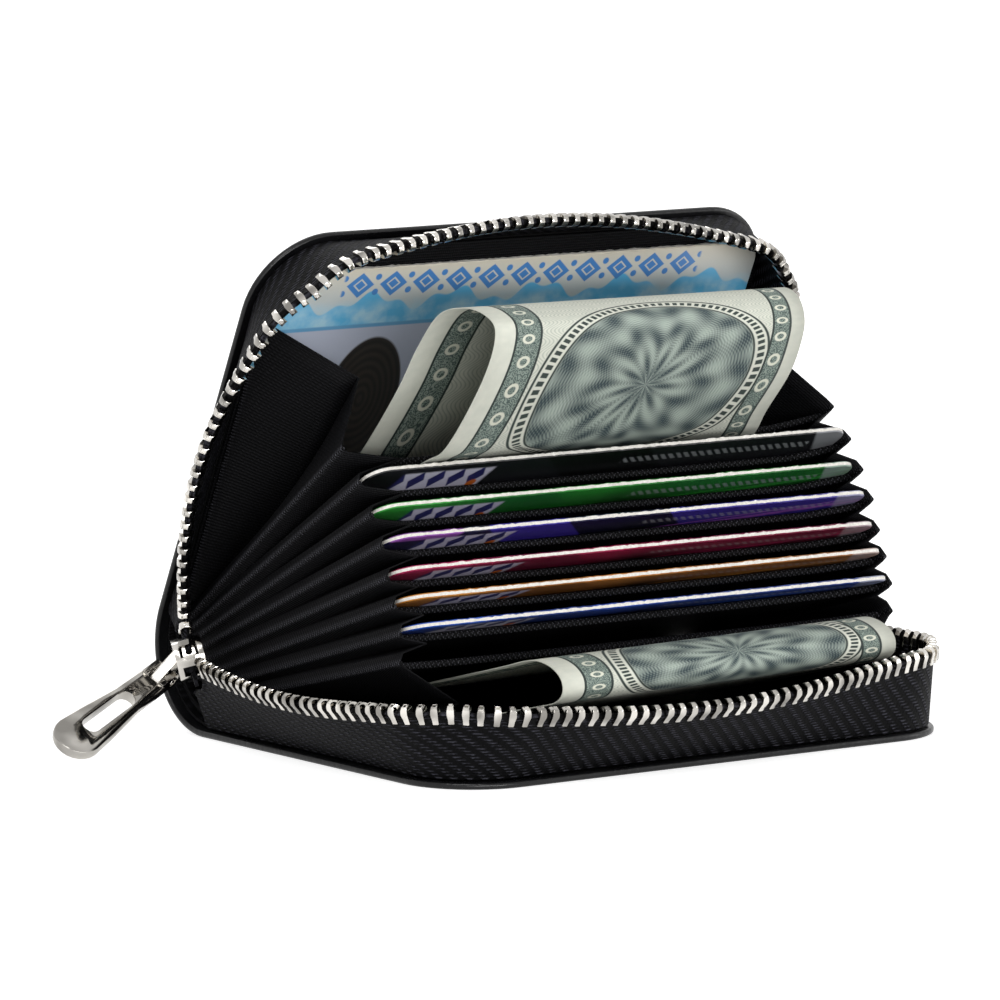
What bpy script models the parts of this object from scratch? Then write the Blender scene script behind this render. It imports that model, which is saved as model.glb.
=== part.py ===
# Zip-around accordion card wallet, standing open with its cards and notes.
# Metres, +Z up. The origin is the centre of the lower cover's underside.
# X runs along the spine, the spine is at +Y and the zipped mouth at -Y.
import math

import bmesh
import bpy
from mathutils import Matrix, Vector

MM = 0.001

# The cards set the wallet's plan, and its closed thickness sets the spine.
card_width = 85.6 * MM
card_height = 54.0 * MM
card_thickness = 0.76 * MM
card_corner = 3.2 * MM
closed_thickness = 25.0 * MM
front_room = 8.5 * MM

# How far the covers stand open, how far apart they stay when shut but not
# zipped, and where each divider hangs between them.
open_angle = math.radians(64.3)
unzipped_angle = math.radians(8.3)
divider_angles = [math.radians(a) for a in (36.2, 31.0, 27.0, 23.6, 20.5, 18.1, 15.8, 13.8)]
divider_length_shares = (0.965, 1.002, 1.024, 1.039, 1.035, 1.033, 1.019, 0.965)

# Sheet stock and the running gaps between sheets.
leather = 1.0 * MM
board = 0.8 * MM
lining = 0.4 * MM
divider_cloth = 0.3 * MM
gusset_cloth = 0.28 * MM
seat_gap = 0.3 * MM
card_clearance = 0.22 * MM

# The zip: tape that stands off the covers, and metal teeth on its edge.
tape_inset = 1.0 * MM
tape_thickness = 0.6 * MM
tape_width = 10.4 * MM
tape_root = 0.7 * MM
tooth_pitch = 2.1 * MM
tooth_width = 0.95 * MM
leg_length = 1.35 * MM
leg_half = 0.6 * MM
shoulder_rise = 0.45 * MM
shoulder_half = 1.05 * MM
tip_rise = 1.4 * MM
bead_reach = 0.42 * MM
cover_corner = 12.0 * MM
# The open tape leans out by these angles at the hinge, mid side, left corner,
# mid front, right corner, mid side and far hinge of each half.
lower_flare = [math.radians(a) for a in (20, 41, 26, 44, 4, 4, 11)]
upper_flare = [math.radians(a) for a in (18, 48, 14, 39, -5, 9, 9)]

# The slider, which is parked on the hinge line at the spine's left end. The pull
# has turned its front end out from the wallet and rolled its outer plate down.
slider_length = 7.4 * MM
slider_height = 5.8 * MM
slider_plate = 0.75 * MM
slider_flange = 0.7 * MM
slider_turn = math.radians(30)
slider_roll = math.radians(14)
slot_half = 0.45 * MM
post_length = 2.0 * MM
post_width = 1.5 * MM
chain_clearance = 0.3 * MM
slider_outset = 2.55 * MM
slider_forward = 0.8 * MM
slider_drop = 0.4 * MM
slider_corner = 2.2 * MM
web_thickness = 0.5 * MM
web_proud = 0.7 * MM
chain_core_half = 1.9 * MM
stop_length = 1.0 * MM
end_stop_length = 1.6 * MM

# The pull and the bar that joins it to the slider's bail.
pull_length = 24.0 * MM
pull_neck = 4.6 * MM
pull_tail = 7.2 * MM
pull_thickness = 1.7 * MM
pull_edge = 0.45 * MM
bar_radius = 0.45 * MM
bar_clearance = 0.3 * MM
bail_wall = 0.7 * MM
bail_width = 1.5 * MM
ear_thickness = 0.9 * MM
bail_reach = 4.45 * MM
bail_root_y = -0.4 * MM
bail_root_z = 1.6 * MM
pull_fork = 2.4 * MM
pull_hole_length = 11.0 * MM
pull_hole_width = 2.7 * MM
pull_direction = Vector((-0.900, -0.286, -0.330)).normalized()
pull_width_guide = Vector((0.427, -0.726, -0.540))

# Dividers, gussets and the notes.
divider_bead = 0.25 * MM
mouth_recess = 4.8 * MM
mouth_shoulder = 8.0 * MM
lowest_pivot_rise = 1.2 * MM
base_strip = 0.8 * MM
card_side_clearance = 0.7 * MM
gusset_room = 1.2 * MM
gusset_depth_left = 9.0 * MM
gusset_depth_right = 4.5 * MM
gusset_start = 3.5 * MM
gusset_ridge_rise = 0.45 * MM
note_width = 64.0 * MM
note_thickness = 0.3 * MM
upper_note_offset = -0.8 * MM
lower_note_offset = 2.9 * MM
# Each note's fold at its left and right ends, as shares of the card height:
# along the divider or cover that it lies on, from the spine, then above it.
upper_note_left_shares = ((0.37, -0.018), (0.56, -0.027), (0.74, -0.04), (0.93, -0.064), (1.02, -0.084),
                          (1.1, -0.1), (1.25, -0.072), (1.4, -0.023), (1.478, 0.035), (1.459, 0.095),
                          (1.392, 0.155), (1.286, 0.198), (1.15, 0.178), (1.013, 0.137), (0.816, 0.097),
                          (0.55, 0.06), (0.3, 0.035))
upper_note_right_shares = ((0.37, -0.018), (0.56, -0.02), (0.74, -0.023), (0.84, -0.026), (0.91, -0.02),
                           (0.976, 0.0), (1.13, 0.032), (1.235, 0.086), (1.272, 0.133), (1.273, 0.184),
                           (1.24, 0.228), (1.184, 0.245), (1.08, 0.228), (0.95, 0.19), (0.78, 0.14),
                           (0.55, 0.08), (0.3, 0.035))
lower_note_shares = ((0.3, 0.06), (0.5, 0.11), (0.66, 0.149), (0.8, 0.184), (0.9, 0.209), (0.98, 0.23),
                     (1.05, 0.249), (1.11, 0.257), (1.17, 0.246), (1.21, 0.22), (1.215, 0.185), (1.185, 0.158),
                     (1.12, 0.14), (1.0, 0.112), (0.8, 0.063), (0.6, 0.014), (0.5, 0.008))
lower_note_skew_share = 0.107
card_inset_shares = {"black": 0.048, "green": 0.05, "purple": 0.074,
                     "maroon": 0.076, "brown": 0.076, "navy": 0.065}
id_card_inset = 4.0 * MM

cover_leaf_share = 0.926
lower_leaf_share = 0.95
gusset_station_shares = (0.0, 0.15, 0.35, 0.58, 0.8, 1.0)

# Sizes that follow from those above.
divider_width = card_width + 2 * card_side_clearance
wallet_length = divider_width + 2 * (gusset_room + tape_thickness / 2 + tape_inset)
cover_depth = card_height + front_room
hinge_height = closed_thickness / 2
hinge_y = cover_depth / 2
hinge_point = Vector((0, hinge_y, hinge_height))
board_bottom = leather + seat_gap
lining_bottom = board_bottom + board + seat_gap
lining_top = lining_bottom + lining
tape_foot = leather + seat_gap
inner_margin = tape_inset + tape_thickness / 2 + seat_gap
spine_lining_outer = hinge_height - leather - seat_gap
base_outer = spine_lining_outer - lining - seat_gap
base_inner = base_outer - base_strip
pivot_pitch = card_thickness + divider_cloth + 2 * card_clearance
pivot_radius = base_inner - divider_bead - seat_gap
slider_inner = shoulder_half + chain_clearance
slider_outer = slider_inner + slider_plate
slider_reach = math.hypot(slider_length / 2, slider_height / 2)
tape_clear_radius = slider_reach + 2 * seat_gap
far_clear_radius = 2 * tooth_pitch
slider_centre = Vector((-wallet_length / 2 - slider_outset, hinge_y - slider_forward, hinge_height - slider_drop))
slider_place = (Matrix.Translation(slider_centre) @ Matrix.Rotation(-slider_turn, 4, "Z")
                @ Matrix.Rotation(-slider_roll, 4, "Y"))
DIVIDERS = len(divider_angles)
CARD_COLOURS = {"black": (0.012, 0.012, 0.014), "green": (0.02, 0.12, 0.02), "purple": (0.04, 0.02, 0.14),
                "maroon": (0.11, 0.005, 0.02), "brown": (0.25, 0.08, 0.01), "navy": (0.01, 0.03, 0.12)}


def clear_scene():
    for obj in list(bpy.data.objects):
        bpy.data.objects.remove(obj, do_unlink=True)


clear_scene()
wallet = bpy.data.collections.new("card_wallet")
cutters = bpy.data.collections.new("cutters")
bpy.context.scene.collection.children.link(wallet)
bpy.context.scene.collection.children.link(cutters)


def make_material(name, colour, roughness, metallic=0.0):
    mat = bpy.data.materials.new(name)
    mat.use_nodes = True
    shader = mat.node_tree.nodes["Principled BSDF"]
    shader.inputs["Base Color"].default_value = (*colour, 1.0)
    shader.inputs["Roughness"].default_value = roughness
    shader.inputs["Metallic"].default_value = metallic
    mat.diffuse_color = (*colour, 1.0)
    return mat


FINISHES = {
    "leather": ((0.012, 0.012, 0.013), 0.45, 0.0),
    "board": ((0.32, 0.28, 0.22), 0.9, 0.0),
    "lining": ((0.008, 0.008, 0.009), 0.75, 0.0),
    "tape": ((0.012, 0.012, 0.013), 0.8, 0.0),
    "nickel": ((0.72, 0.70, 0.67), 0.16, 1.0),
    "id_card": ((0.42, 0.62, 0.75), 0.3, 0.0),
    "note": ((0.42, 0.43, 0.36), 0.8, 0.0),
}


def finish(obj, kind):
    """Gives the object its own material of a kind."""
    if kind in FINISHES:
        colour, roughness, metallic = FINISHES[kind]
    else:
        colour, roughness, metallic = CARD_COLOURS[kind], 0.3, 0.0
    obj.data.materials.clear()
    obj.data.materials.append(make_material(obj.name, colour, roughness, metallic))


def add_object(name, bm, kind, parent=None, collection=wallet):
    """Turns a bmesh into an object; its faces are turned outwards first."""
    bmesh.ops.recalc_face_normals(bm, faces=bm.faces)
    mesh = bpy.data.meshes.new(name)
    bm.to_mesh(mesh)
    bm.free()
    obj = bpy.data.objects.new(name, mesh)
    collection.objects.link(obj)
    obj.parent = parent
    if kind:
        finish(obj, kind)
    else:
        obj.hide_render = True
        obj.display_type = "WIRE"
    return obj


def add_empty(name, location, rotation=(0, 0, 0), parent=None):
    empty = bpy.data.objects.new(name, None)
    empty.location = location
    empty.rotation_euler = rotation
    empty.parent = parent
    wallet.objects.link(empty)
    return empty


def box(bm, low, high):
    """Adds a box between two corners and returns its vertices."""
    low, high = Vector(low), Vector(high)
    made = bmesh.ops.create_cube(bm, size=1.0)["verts"]
    bmesh.ops.scale(bm, vec=high - low, verts=made)
    bmesh.ops.translate(bm, vec=(low + high) / 2, verts=made)
    return made


def edges_along(verts, axis):
    """The edges between these vertices that run along one axis."""
    wanted = set(verts)
    found = {e for v in verts for e in v.link_edges if set(e.verts) <= wanted}
    return [e for e in found
            if abs((e.verts[0].co - e.verts[1].co).normalized()[axis]) > 1 - 1e-6]


def round_corners(bm, edges, radius, segments):
    bmesh.ops.bevel(bm, geom=edges, offset=radius, segments=segments,
                    affect="EDGES", profile=0.5, material=-1)


def cut(obj, cutter_bm, name):
    """Cuts a shape out of an object with a Boolean that stays live."""
    cutter = add_object(name, cutter_bm, None, obj.parent, cutters)
    cutter.matrix_basis = obj.matrix_basis
    mod = obj.modifiers.new(name, "BOOLEAN")
    mod.operation = "DIFFERENCE"
    mod.object = cutter


def join(obj, other_bm, name):
    """Joins a shape to an object with a Boolean that stays live."""
    other = add_object(name, other_bm, None, obj.parent, cutters)
    other.matrix_basis = obj.matrix_basis
    mod = obj.modifiers.new(name, "BOOLEAN")
    mod.operation = "UNION"
    mod.object = other


def loft(bm, rows, closed_rows=False, caps=False):
    """Skins rows of points; closed_rows joins each row into a ring."""
    grid = [[bm.verts.new(p) for p in row] for row in rows]
    count = len(grid[0])
    last = count if closed_rows else count - 1
    for first, second in zip(grid[:-1], grid[1:]):
        for i in range(last):
            j = (i + 1) % count
            bm.faces.new((first[i], first[j], second[j], second[i]))
    if caps:
        bm.faces.new(grid[0][::-1])
        bm.faces.new(grid[-1])
    return grid


def smooth_round(obj, degrees=35.0):
    obj.data.shade_smooth()
    obj.data.set_sharp_from_angle(angle=math.radians(degrees))


# The two halves are built alike, in a frame on the hinge line, with the cover
# reaching along -Y and its outside at -hinge_height. The upper one is turned
# half round about Y, so its left side is on its own +X.
class Half:
    def __init__(self, side, flares, left, parent):
        self.side = side
        self.flares = flares
        self.left = left
        self.parent = parent


corner_bend = cover_corner - tape_inset
corner_arc = corner_bend * math.pi / 2
side_run = cover_depth - cover_corner
front_run = wallet_length - 2 * cover_corner
base_length = 2 * (side_run + corner_arc) + front_run


def base_path(distance, left):
    """A point and outward normal on the tape's foot, by distance from the left hinge end."""
    half = wallet_length / 2
    if distance > base_length / 2:
        point, normal = base_path(base_length - distance, -left)
        return point, normal
    if distance < side_run:
        point, normal = Vector((half - tape_inset, -distance, 0)), Vector((1, 0, 0))
    elif distance < side_run + corner_arc:
        turn = (distance - side_run) / corner_bend
        normal = Vector((math.cos(turn), -math.sin(turn), 0))
        point = Vector((half - cover_corner, -side_run, 0)) + normal * corner_bend
    else:
        along = distance - side_run - corner_arc
        normal = Vector((0, -1, 0))
        point = Vector((half - cover_corner - along, tape_inset - cover_depth, 0))
    point.x *= left
    normal.x *= left
    return point, normal


def flare_at(distance, flares):
    """The tape's lean: a sine swell between the hinge, the corners and the far hinge."""
    bend_middle = side_run + corner_arc / 2
    knots = (0, bend_middle, base_length - bend_middle, base_length)
    span = 0 if distance <= knots[1] else 1 if distance <= knots[2] else 2
    share = (distance - knots[span]) / (knots[span + 1] - knots[span])
    start, middle, end = flares[2 * span: 2 * span + 3]
    swell = middle - (start + end) / 2
    return start + (end - start) * share + swell * math.sin(math.pi * share)


def wall_frame(distance, half):
    """Foot of the standing tape, its rising direction and its outward normal."""
    point, normal = base_path(distance, half.left)
    lean = flare_at(distance, half.flares)
    foot = point + Vector((0, 0, tape_foot + tape_root - hinge_height))
    rise = normal * math.sin(lean) + Vector((0, 0, math.cos(lean)))
    outward = normal * math.cos(lean) - Vector((0, 0, math.sin(lean)))
    return foot, rise, outward


def chain_rise(distance, half):
    """The tape's length up to the chain, kept below the far half's teeth when the covers shut."""
    foot, rise, _ = wall_frame(distance, half)
    spare = -foot.y * math.sin(unzipped_angle / 2) - seat_gap / 2
    return min(tape_width, (spare - foot.z) / rise.z - tip_rise)


def clear_radius_at(distance):
    return tape_clear_radius if distance < base_length / 2 else far_clear_radius


def tape_top(distance, half):
    """The rising length of tape, less where it is cut round the slider or the far stop."""
    foot, rise, _ = wall_frame(distance, half)
    full = chain_rise(distance, half) - leg_length - seat_gap
    radius = clear_radius_at(distance)
    if abs(foot.y) >= radius:
        return full
    drop = math.sqrt(radius ** 2 - foot.y ** 2)
    return min(full, (-foot.z - drop) / rise.z)


def tape_stations():
    """Distances along the foot where the tape has a row of points."""
    end = [tape_clear_radius * k / 4 for k in range(5)]
    side = [tape_clear_radius + (side_run - tape_clear_radius) * k / 5 for k in range(1, 5)]
    corner = [side_run + corner_arc * k / 6 for k in range(7)]
    front = [side_run + corner_arc + front_run * k / 16 for k in range(1, 9)]
    near = end + side + corner + front
    return near + [base_length - d for d in reversed(near[:-1])]


def zip_tape(half):
    """A standing strip whose lean changes along the mouth, as an open sheet with Solidify."""
    bm = bmesh.new()
    rows = []
    for distance in tape_stations():
        foot, rise, _ = wall_frame(distance, half)
        root = foot - Vector((0, 0, tape_root))
        top = tape_top(distance, half)
        rows.append([root, foot, foot + rise * top / 2, foot + rise * top])
    loft(bm, rows)
    obj = add_object(half.side + "_zip_tape", bm, "tape", half.parent)
    mod = obj.modifiers.new("thickness", "SOLIDIFY")
    mod.thickness = tape_thickness
    mod.offset = 0
    return obj


def chain_point(distance, half):
    foot, rise, _ = wall_frame(distance, half)
    return foot + rise * chain_rise(distance, half)


def tooth_stations(half):
    """Evenly pitched stations along the chain, between the slider and the far stop."""
    steps = 1200
    distances = [base_length * k / steps for k in range(steps + 1)]
    points = [chain_point(d, half) for d in distances]
    start = tape_clear_radius + tooth_pitch / 2
    end = base_length - far_clear_radius - end_stop_length - tooth_pitch
    found = []
    travelled = 0.0
    wanted = 0.0
    for k in range(1, steps + 1):
        if distances[k] < start or distances[k] > end:
            continue
        travelled += (points[k] - points[k - 1]).length
        if travelled >= wanted:
            found.append(distances[k])
            wanted += tooth_pitch
    return found


def chain_frame(distance, half):
    """Centre, rising, outward and running directions on the chain."""
    _, rise, _ = wall_frame(distance, half)
    ahead = tooth_pitch / 4
    centre = chain_point(distance, half)
    run = (chain_point(distance + ahead, half) - chain_point(distance - ahead, half)).normalized()
    rise = (rise - run * rise.dot(run)).normalized()
    return centre, rise, run.cross(rise), run


def bead_section():
    """The woven bead that carries the teeth."""
    turns = [math.pi + math.tau * (k + 0.5) / 5 for k in range(5)]
    return [(bead_reach * math.cos(a), bead_reach * math.sin(a)) for a in turns]


def tooth_section():
    """Across the chain: two legs, shoulders and a pointed head, in the bead's order."""
    return [(-leg_length, -leg_half), (shoulder_rise, -shoulder_half), (tip_rise, 0.0),
            (shoulder_rise, shoulder_half), (-leg_length, leg_half)]


def zip_teeth(half):
    """One unbroken bead with a tooth at each pitch, as one loft of unlike rings."""
    tooth, bead = tooth_section(), bead_section()
    rows = []
    for distance in tooth_stations(half):
        centre, rise, outward, run = chain_frame(distance, half)
        for section, along in ((bead, -0.5), (tooth, -0.5), (tooth, 0.5), (bead, 0.5)):
            middle = centre + run * tooth_width * along
            rows.append([middle + rise * u + outward * v for u, v in section])
    bm = bmesh.new()
    loft(bm, rows, closed_rows=True, caps=True)
    return add_object(half.side + "_zip_teeth", bm, "nickel", half.parent)


def zip_end_stop(half):
    """The small clamp after the last tooth at the far hinge end."""
    centre, rise, outward, run = chain_frame(tooth_stations(half)[-1], half)
    start = tooth_width / 2 + seat_gap
    bm = bmesh.new()
    verts = box(bm, (-leg_length, -shoulder_half, start),
                (shoulder_rise, shoulder_half, start + end_stop_length))
    round_corners(bm, edges_along(verts, 2), leg_half / 2, 2)
    turn = Matrix((rise, outward, run)).transposed().to_4x4()
    bmesh.ops.transform(bm, matrix=Matrix.Translation(centre) @ turn, verts=bm.verts)
    return add_object(half.side + "_zip_end_stop", bm, "nickel", half.parent)


def cover_sheet(half, name, kind, bottom, thickness, margin, back_margin):
    """A flat sheet of one half, with its two front corners rounded."""
    bm = bmesh.new()
    reach = wallet_length / 2 - margin
    verts = box(bm, (-reach, margin - cover_depth, bottom - hinge_height),
                (reach, -back_margin, bottom + thickness - hinge_height))
    front = [e for e in edges_along(verts, 2) if e.verts[0].co.y < -cover_depth / 2]
    round_corners(bm, front, cover_corner - margin, 8)
    return add_object(half.side + name, bm, kind, half.parent)


def build_half(half):
    sheet = cover_sheet(half, "_cover_leather", "leather", 0, leather, 0, seat_gap / 2)
    edge = sheet.modifiers.new("edge", "BEVEL")
    edge.width = leather / 4
    edge.segments = 1
    edge.limit_method = "ANGLE"
    edge.angle_limit = math.radians(60)
    cover_sheet(half, "_cover_board", "board", board_bottom, board, inner_margin, seat_gap)
    cover_sheet(half, "_cover_lining", "lining", lining_bottom, lining, inner_margin, seat_gap)
    zip_tape(half)
    zip_teeth(half)
    zip_end_stop(half)


def arc_sheet(name, kind, outer, thickness, start, end, reach, steps):
    """A strip bent round the hinge line, spun as an open sheet with Solidify."""
    bm = bmesh.new()
    middle = outer - thickness / 2
    place = Vector((0, math.cos(start), math.sin(start))) * middle
    verts = [bm.verts.new(place + Vector((x, 0, 0))) for x in (-reach, reach)]
    bm.edges.new(verts)
    bmesh.ops.spin(bm, geom=bm.verts[:] + bm.edges[:], cent=(0, 0, 0), axis=(1, 0, 0),
                   angle=end - start, steps=steps)
    obj = add_object(name, bm, kind)
    obj.location = hinge_point
    mod = obj.modifiers.new("thickness", "SOLIDIFY")
    mod.thickness = thickness
    mod.offset = 0
    return obj


def pivot_of(index):
    """Where divider number index turns, counted from the upper one."""
    height = lining_top + lowest_pivot_rise + (DIVIDERS - 1 - index) * pivot_pitch
    rise = height - hinge_height
    return Vector((0, hinge_y + math.sqrt(pivot_radius ** 2 - rise ** 2), height))


def spine_angle(point):
    return math.atan2(point.z - hinge_height, point.y - hinge_y)


def build_spine():
    half = wallet_length / 2
    slip = seat_gap / hinge_height
    bottom = -math.pi / 2
    top = math.pi / 2 - open_angle
    arc_sheet("spine_leather", "leather", hinge_height, leather, bottom + slip, top - slip, half, 14)
    arc_sheet("spine_lining", "lining", spine_lining_outer, lining, bottom + slip, top - slip,
              half - inner_margin, 12)
    seat = 2 * divider_bead / pivot_radius
    start = spine_angle(pivot_of(DIVIDERS - 1)) - seat
    end = spine_angle(pivot_of(0)) + seat / 2
    arc_sheet("accordion_base", "lining", base_outer, base_strip, start, end, divider_width / 2, 10)


def divider_parent(index):
    return add_empty("divider_%d_hinge" % (index + 1), pivot_of(index), (-divider_angles[index], 0, 0))


def divider(index, parent):
    """A cloth leaf with a rolled edge on its hinge line."""
    length = divider_length_shares[index] * card_height
    half = divider_cloth / 2
    start = math.asin(half / divider_bead)
    rolled = [start + (math.tau - 2 * start) * k / 8 for k in range(9)]
    outline = [(divider_bead * math.cos(a - math.pi), divider_bead * math.sin(a - math.pi)) for a in rolled]
    outline += [(-length, half), (-length, -half)]
    bm = bmesh.new()
    face = bm.faces.new([bm.verts.new((-divider_width / 2, y, z)) for y, z in outline])
    grown = bmesh.ops.extrude_face_region(bm, geom=[face])["geom"]
    moved = [g for g in grown if isinstance(g, bmesh.types.BMVert)]
    bmesh.ops.translate(bm, vec=(divider_width, 0, 0), verts=moved)
    leaf = add_object("divider_%d" % (index + 1), bm, "lining", parent)
    dip = bmesh.new()
    half = divider_width / 2 - divider_bead
    verts = box(dip, (-half, -length - mouth_recess, -mouth_recess), (half, mouth_recess - length, mouth_recess))
    for v in verts:
        if v.co.y > -length:
            v.co.x *= (half - mouth_shoulder) / half
        else:
            v.co.x *= (half + mouth_shoulder) / half
    cut(leaf, dip, "mouth")
    return leaf


def card(name, kind, start, height, parent):
    """A card with rounded corners, its spine edge at start and its underside at height."""
    bm = bmesh.new()
    verts = box(bm, (-card_width / 2, -start - card_height, height),
                (card_width / 2, -start, height + card_thickness))
    round_corners(bm, edges_along(verts, 2), card_corner, 4)
    return add_object(name, bm, kind, parent)


def smooth_points(points, steps):
    """Points on a smooth curve through the given ones."""
    found = []
    last = len(points) - 1
    for k in range(last):
        before, a = Vector(points[max(k - 1, 0)]), Vector(points[k])
        b, after = Vector(points[k + 1]), Vector(points[min(k + 2, last)])
        for step in range(steps):
            t = step / steps
            found.append(0.5 * (2 * a + (b - before) * t + (2 * before - 5 * a + 4 * b - after) * t ** 2
                                + (3 * a - before - 3 * b + after) * t ** 3))
    found.append(Vector(points[-1]))
    return found


def note(name, left_shares, right_shares, lift, offset, parent):
    """A banknote bent along its length: curves at its two ends, lofted, with Solidify."""
    ends = []
    for side, shares in ((-1, left_shares), (1, right_shares)):
        flat = [(r * card_height, lift + b * card_height) for r, b in shares]
        ends.append([Vector((offset + side * note_width / 2, -p[0], p[1])) for p in smooth_points(flat, 3)])
    bm = bmesh.new()
    loft(bm, list(zip(*ends)))
    obj = add_object(name, bm, "note", parent)
    mod = obj.modifiers.new("thickness", "SOLIDIFY")
    mod.thickness = note_thickness
    mod.offset = 0
    return obj


class Leaf:
    """A line from the spine to the mouth that a gusset is sewn along, in the YZ plane."""
    def __init__(self, origin, angle, length):
        self.origin = origin
        self.run = Vector((0, -math.cos(angle), math.sin(angle)))
        self.up = Vector((0, math.sin(angle), math.cos(angle)))
        self.length = length

    def at(self, share):
        return self.origin + self.run * (gusset_start + (self.length - gusset_start) * share)


def gusset_leaves():
    inner = hinge_height - lining_top
    across = Vector((0, math.sin(open_angle), math.cos(open_angle)))
    cover_length = cover_leaf_share * card_height
    leaves = [Leaf(hinge_point + across * inner, open_angle, cover_length)]
    for index in range(DIVIDERS):
        leaves.append(Leaf(pivot_of(index), divider_angles[index], divider_length_shares[index] * card_height))
    lower_length = lower_leaf_share * card_height
    leaves.append(Leaf(Vector((0, pivot_of(DIVIDERS - 1).y, lining_top)), 0, lower_length))
    return leaves


def gusset_row(leaves, share, sign, depth):
    """One pleated row: out to a ridge at each divider's edge and in to a fold between."""
    ridge = divider_width / 2 + gusset_room - gusset_cloth - seat_gap / 2
    shoulder = card_width / 2 + gusset_cloth / 2 + card_side_clearance / 2
    over_card = card_thickness + divider_cloth / 2 + 2 * card_clearance
    under = gusset_cloth / 2 + divider_cloth / 2 + seat_gap
    row = []
    last = len(leaves) - 1
    for k in range(last):
        upper, lower = leaves[k], leaves[k + 1]
        a, b = upper.at(share), lower.at(share)
        gap = (a - b).length
        down = over_card if k == 0 else under
        room = gap - down - over_card
        squeeze = min(1.0, gap * 0.85 / (down + over_card))
        start = a - upper.up * (gusset_ridge_rise if k == 0 else 0)
        high = a - upper.up * down * squeeze
        low = b + lower.up * over_card * squeeze
        fold = (high + low) / 2
        inward = depth * max(0.0, min(1.0, room / (gusset_depth_left / 2)))
        row.append(start + Vector((sign * ridge, 0, 0)))
        row.append(high + Vector((sign * shoulder, 0, 0)))
        row.append(fold + Vector((sign * (shoulder - inward), 0, 0)))
        row.append(low + Vector((sign * shoulder, 0, 0)))
    row.append(leaves[last].at(share) + leaves[last].up * gusset_ridge_rise + Vector((sign * ridge, 0, 0)))
    return row


def gusset(name, sign, depth):
    leaves = gusset_leaves()
    bm = bmesh.new()
    loft(bm, [gusset_row(leaves, share, sign, depth) for share in gusset_station_shares])
    obj = add_object(name, bm, "lining")
    mod = obj.modifiers.new("thickness", "SOLIDIFY")
    mod.thickness = gusset_cloth
    mod.offset = 0
    return obj


def frame_matrix(origin, x_axis, y_axis):
    z_axis = x_axis.cross(y_axis)
    turn = Matrix((x_axis, y_axis, z_axis)).transposed().to_4x4()
    return Matrix.Translation(origin) @ turn


pull_axis = (pull_width_guide - pull_direction * pull_width_guide.dot(pull_direction)).normalized()
slider_out = slider_place.to_3x3() @ Vector((-1, 0, 0))
bail_out = (slider_out - pull_axis * slider_out.dot(pull_axis)).normalized()
bail_root = slider_place @ Vector((0, bail_root_y, bail_root_z))
bail_slant = bail_out.dot(slider_out)
bar_centre = bail_root + bail_out * (bail_reach / bail_slant)
bail_hole = bar_radius + bar_clearance
bail_half = bail_hole + bail_wall
ear_start = bail_width / 2 + bar_clearance
ear_end = ear_start + ear_thickness


def rod(bm, radius, start, end, segments):
    """A closed cylinder along Z between two heights."""
    made = bmesh.ops.create_cone(bm, cap_ends=True, segments=segments, radius1=radius,
                                 radius2=radius, depth=end - start)["verts"]
    bmesh.ops.translate(bm, vec=(0, 0, (start + end) / 2), verts=made)
    return made


def slider_body():
    """Two plates, four flanges and the post between them, cut from one block, with the bail joined on."""
    overrun = slider_plate
    half_length, half_height = slider_length / 2, slider_height / 2
    inside = half_height - slider_flange
    post_end = post_length - half_length
    bm = bmesh.new()
    verts = box(bm, (-slider_outer, -half_length, -half_height), (slider_outer, half_length, half_height))
    round_corners(bm, edges_along(verts, 0), slider_corner, 3)
    body = add_object("slider_body", bm, "nickel")
    body.matrix_world = slider_place
    shapes = {"channel": ((-slider_inner, post_end, -inside), (slider_inner, half_length + overrun, inside))}
    for name, sign in (("upper", 1), ("lower", -1)):
        heights = sorted((sign * post_width / 2, sign * inside))
        shapes[name + "_throat"] = ((-slider_inner, -half_length - overrun, heights[0]),
                                    (slider_inner, post_end + overrun, heights[1]))
        heights = sorted((sign * post_width / 2, sign * (half_height + overrun)))
        shapes[name + "_slot"] = ((-slot_half, -half_length - overrun, heights[0]),
                                  (slot_half, half_length + overrun, heights[1]))
    for name, (low, high) in shapes.items():
        cutter = bmesh.new()
        box(cutter, low, high)
        cut(body, cutter, name)
    place = slider_place.inverted() @ frame_matrix(bar_centre, bail_out, pull_axis.cross(bail_out))
    bail = bmesh.new()
    root = (slider_inner + slider_plate / 2 - bail_reach) / bail_slant
    box(bail, (root, -bail_half, -bail_width / 2), (bail_half, bail_half, bail_width / 2))
    bmesh.ops.transform(bail, matrix=place, verts=bail.verts)
    join(body, bail, "bail")
    eye = bmesh.new()
    rod(eye, bail_hole, -bail_width, bail_width, 12)
    bmesh.ops.transform(eye, matrix=place, verts=eye.verts)
    cut(body, eye, "bail_eye")
    return body


def chain_end():
    """The closed end of the chain inside the slider, on the web of tape that the slider runs along."""
    behind_post = post_length - slider_length / 2 + seat_gap
    radius = slider_length / 2 + web_proud
    bm = bmesh.new()
    made = rod(bm, radius, -web_thickness / 2, web_thickness / 2, 24)
    bmesh.ops.rotate(bm, cent=(0, 0, 0), matrix=Matrix.Rotation(math.pi / 2, 3, "Y"), verts=made)
    cutting = bmesh.ops.bisect_plane(bm, geom=bm.verts[:] + bm.edges[:] + bm.faces[:], dist=web_thickness / 100,
                                     plane_co=(0, behind_post, 0), plane_no=(0, -1, 0), clear_outer=True)
    rim = [g for g in cutting["geom_cut"] if isinstance(g, bmesh.types.BMEdge)]
    bmesh.ops.contextual_create(bm, geom=rim)
    web = add_object("zip_chain_end", bm, "tape")
    web.matrix_world = slider_place
    core = bmesh.new()
    box(core, (-shoulder_half, behind_post, -chain_core_half),
        (shoulder_half, slider_length / 2, chain_core_half))
    join(web, core, "chain_core")
    return web


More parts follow.
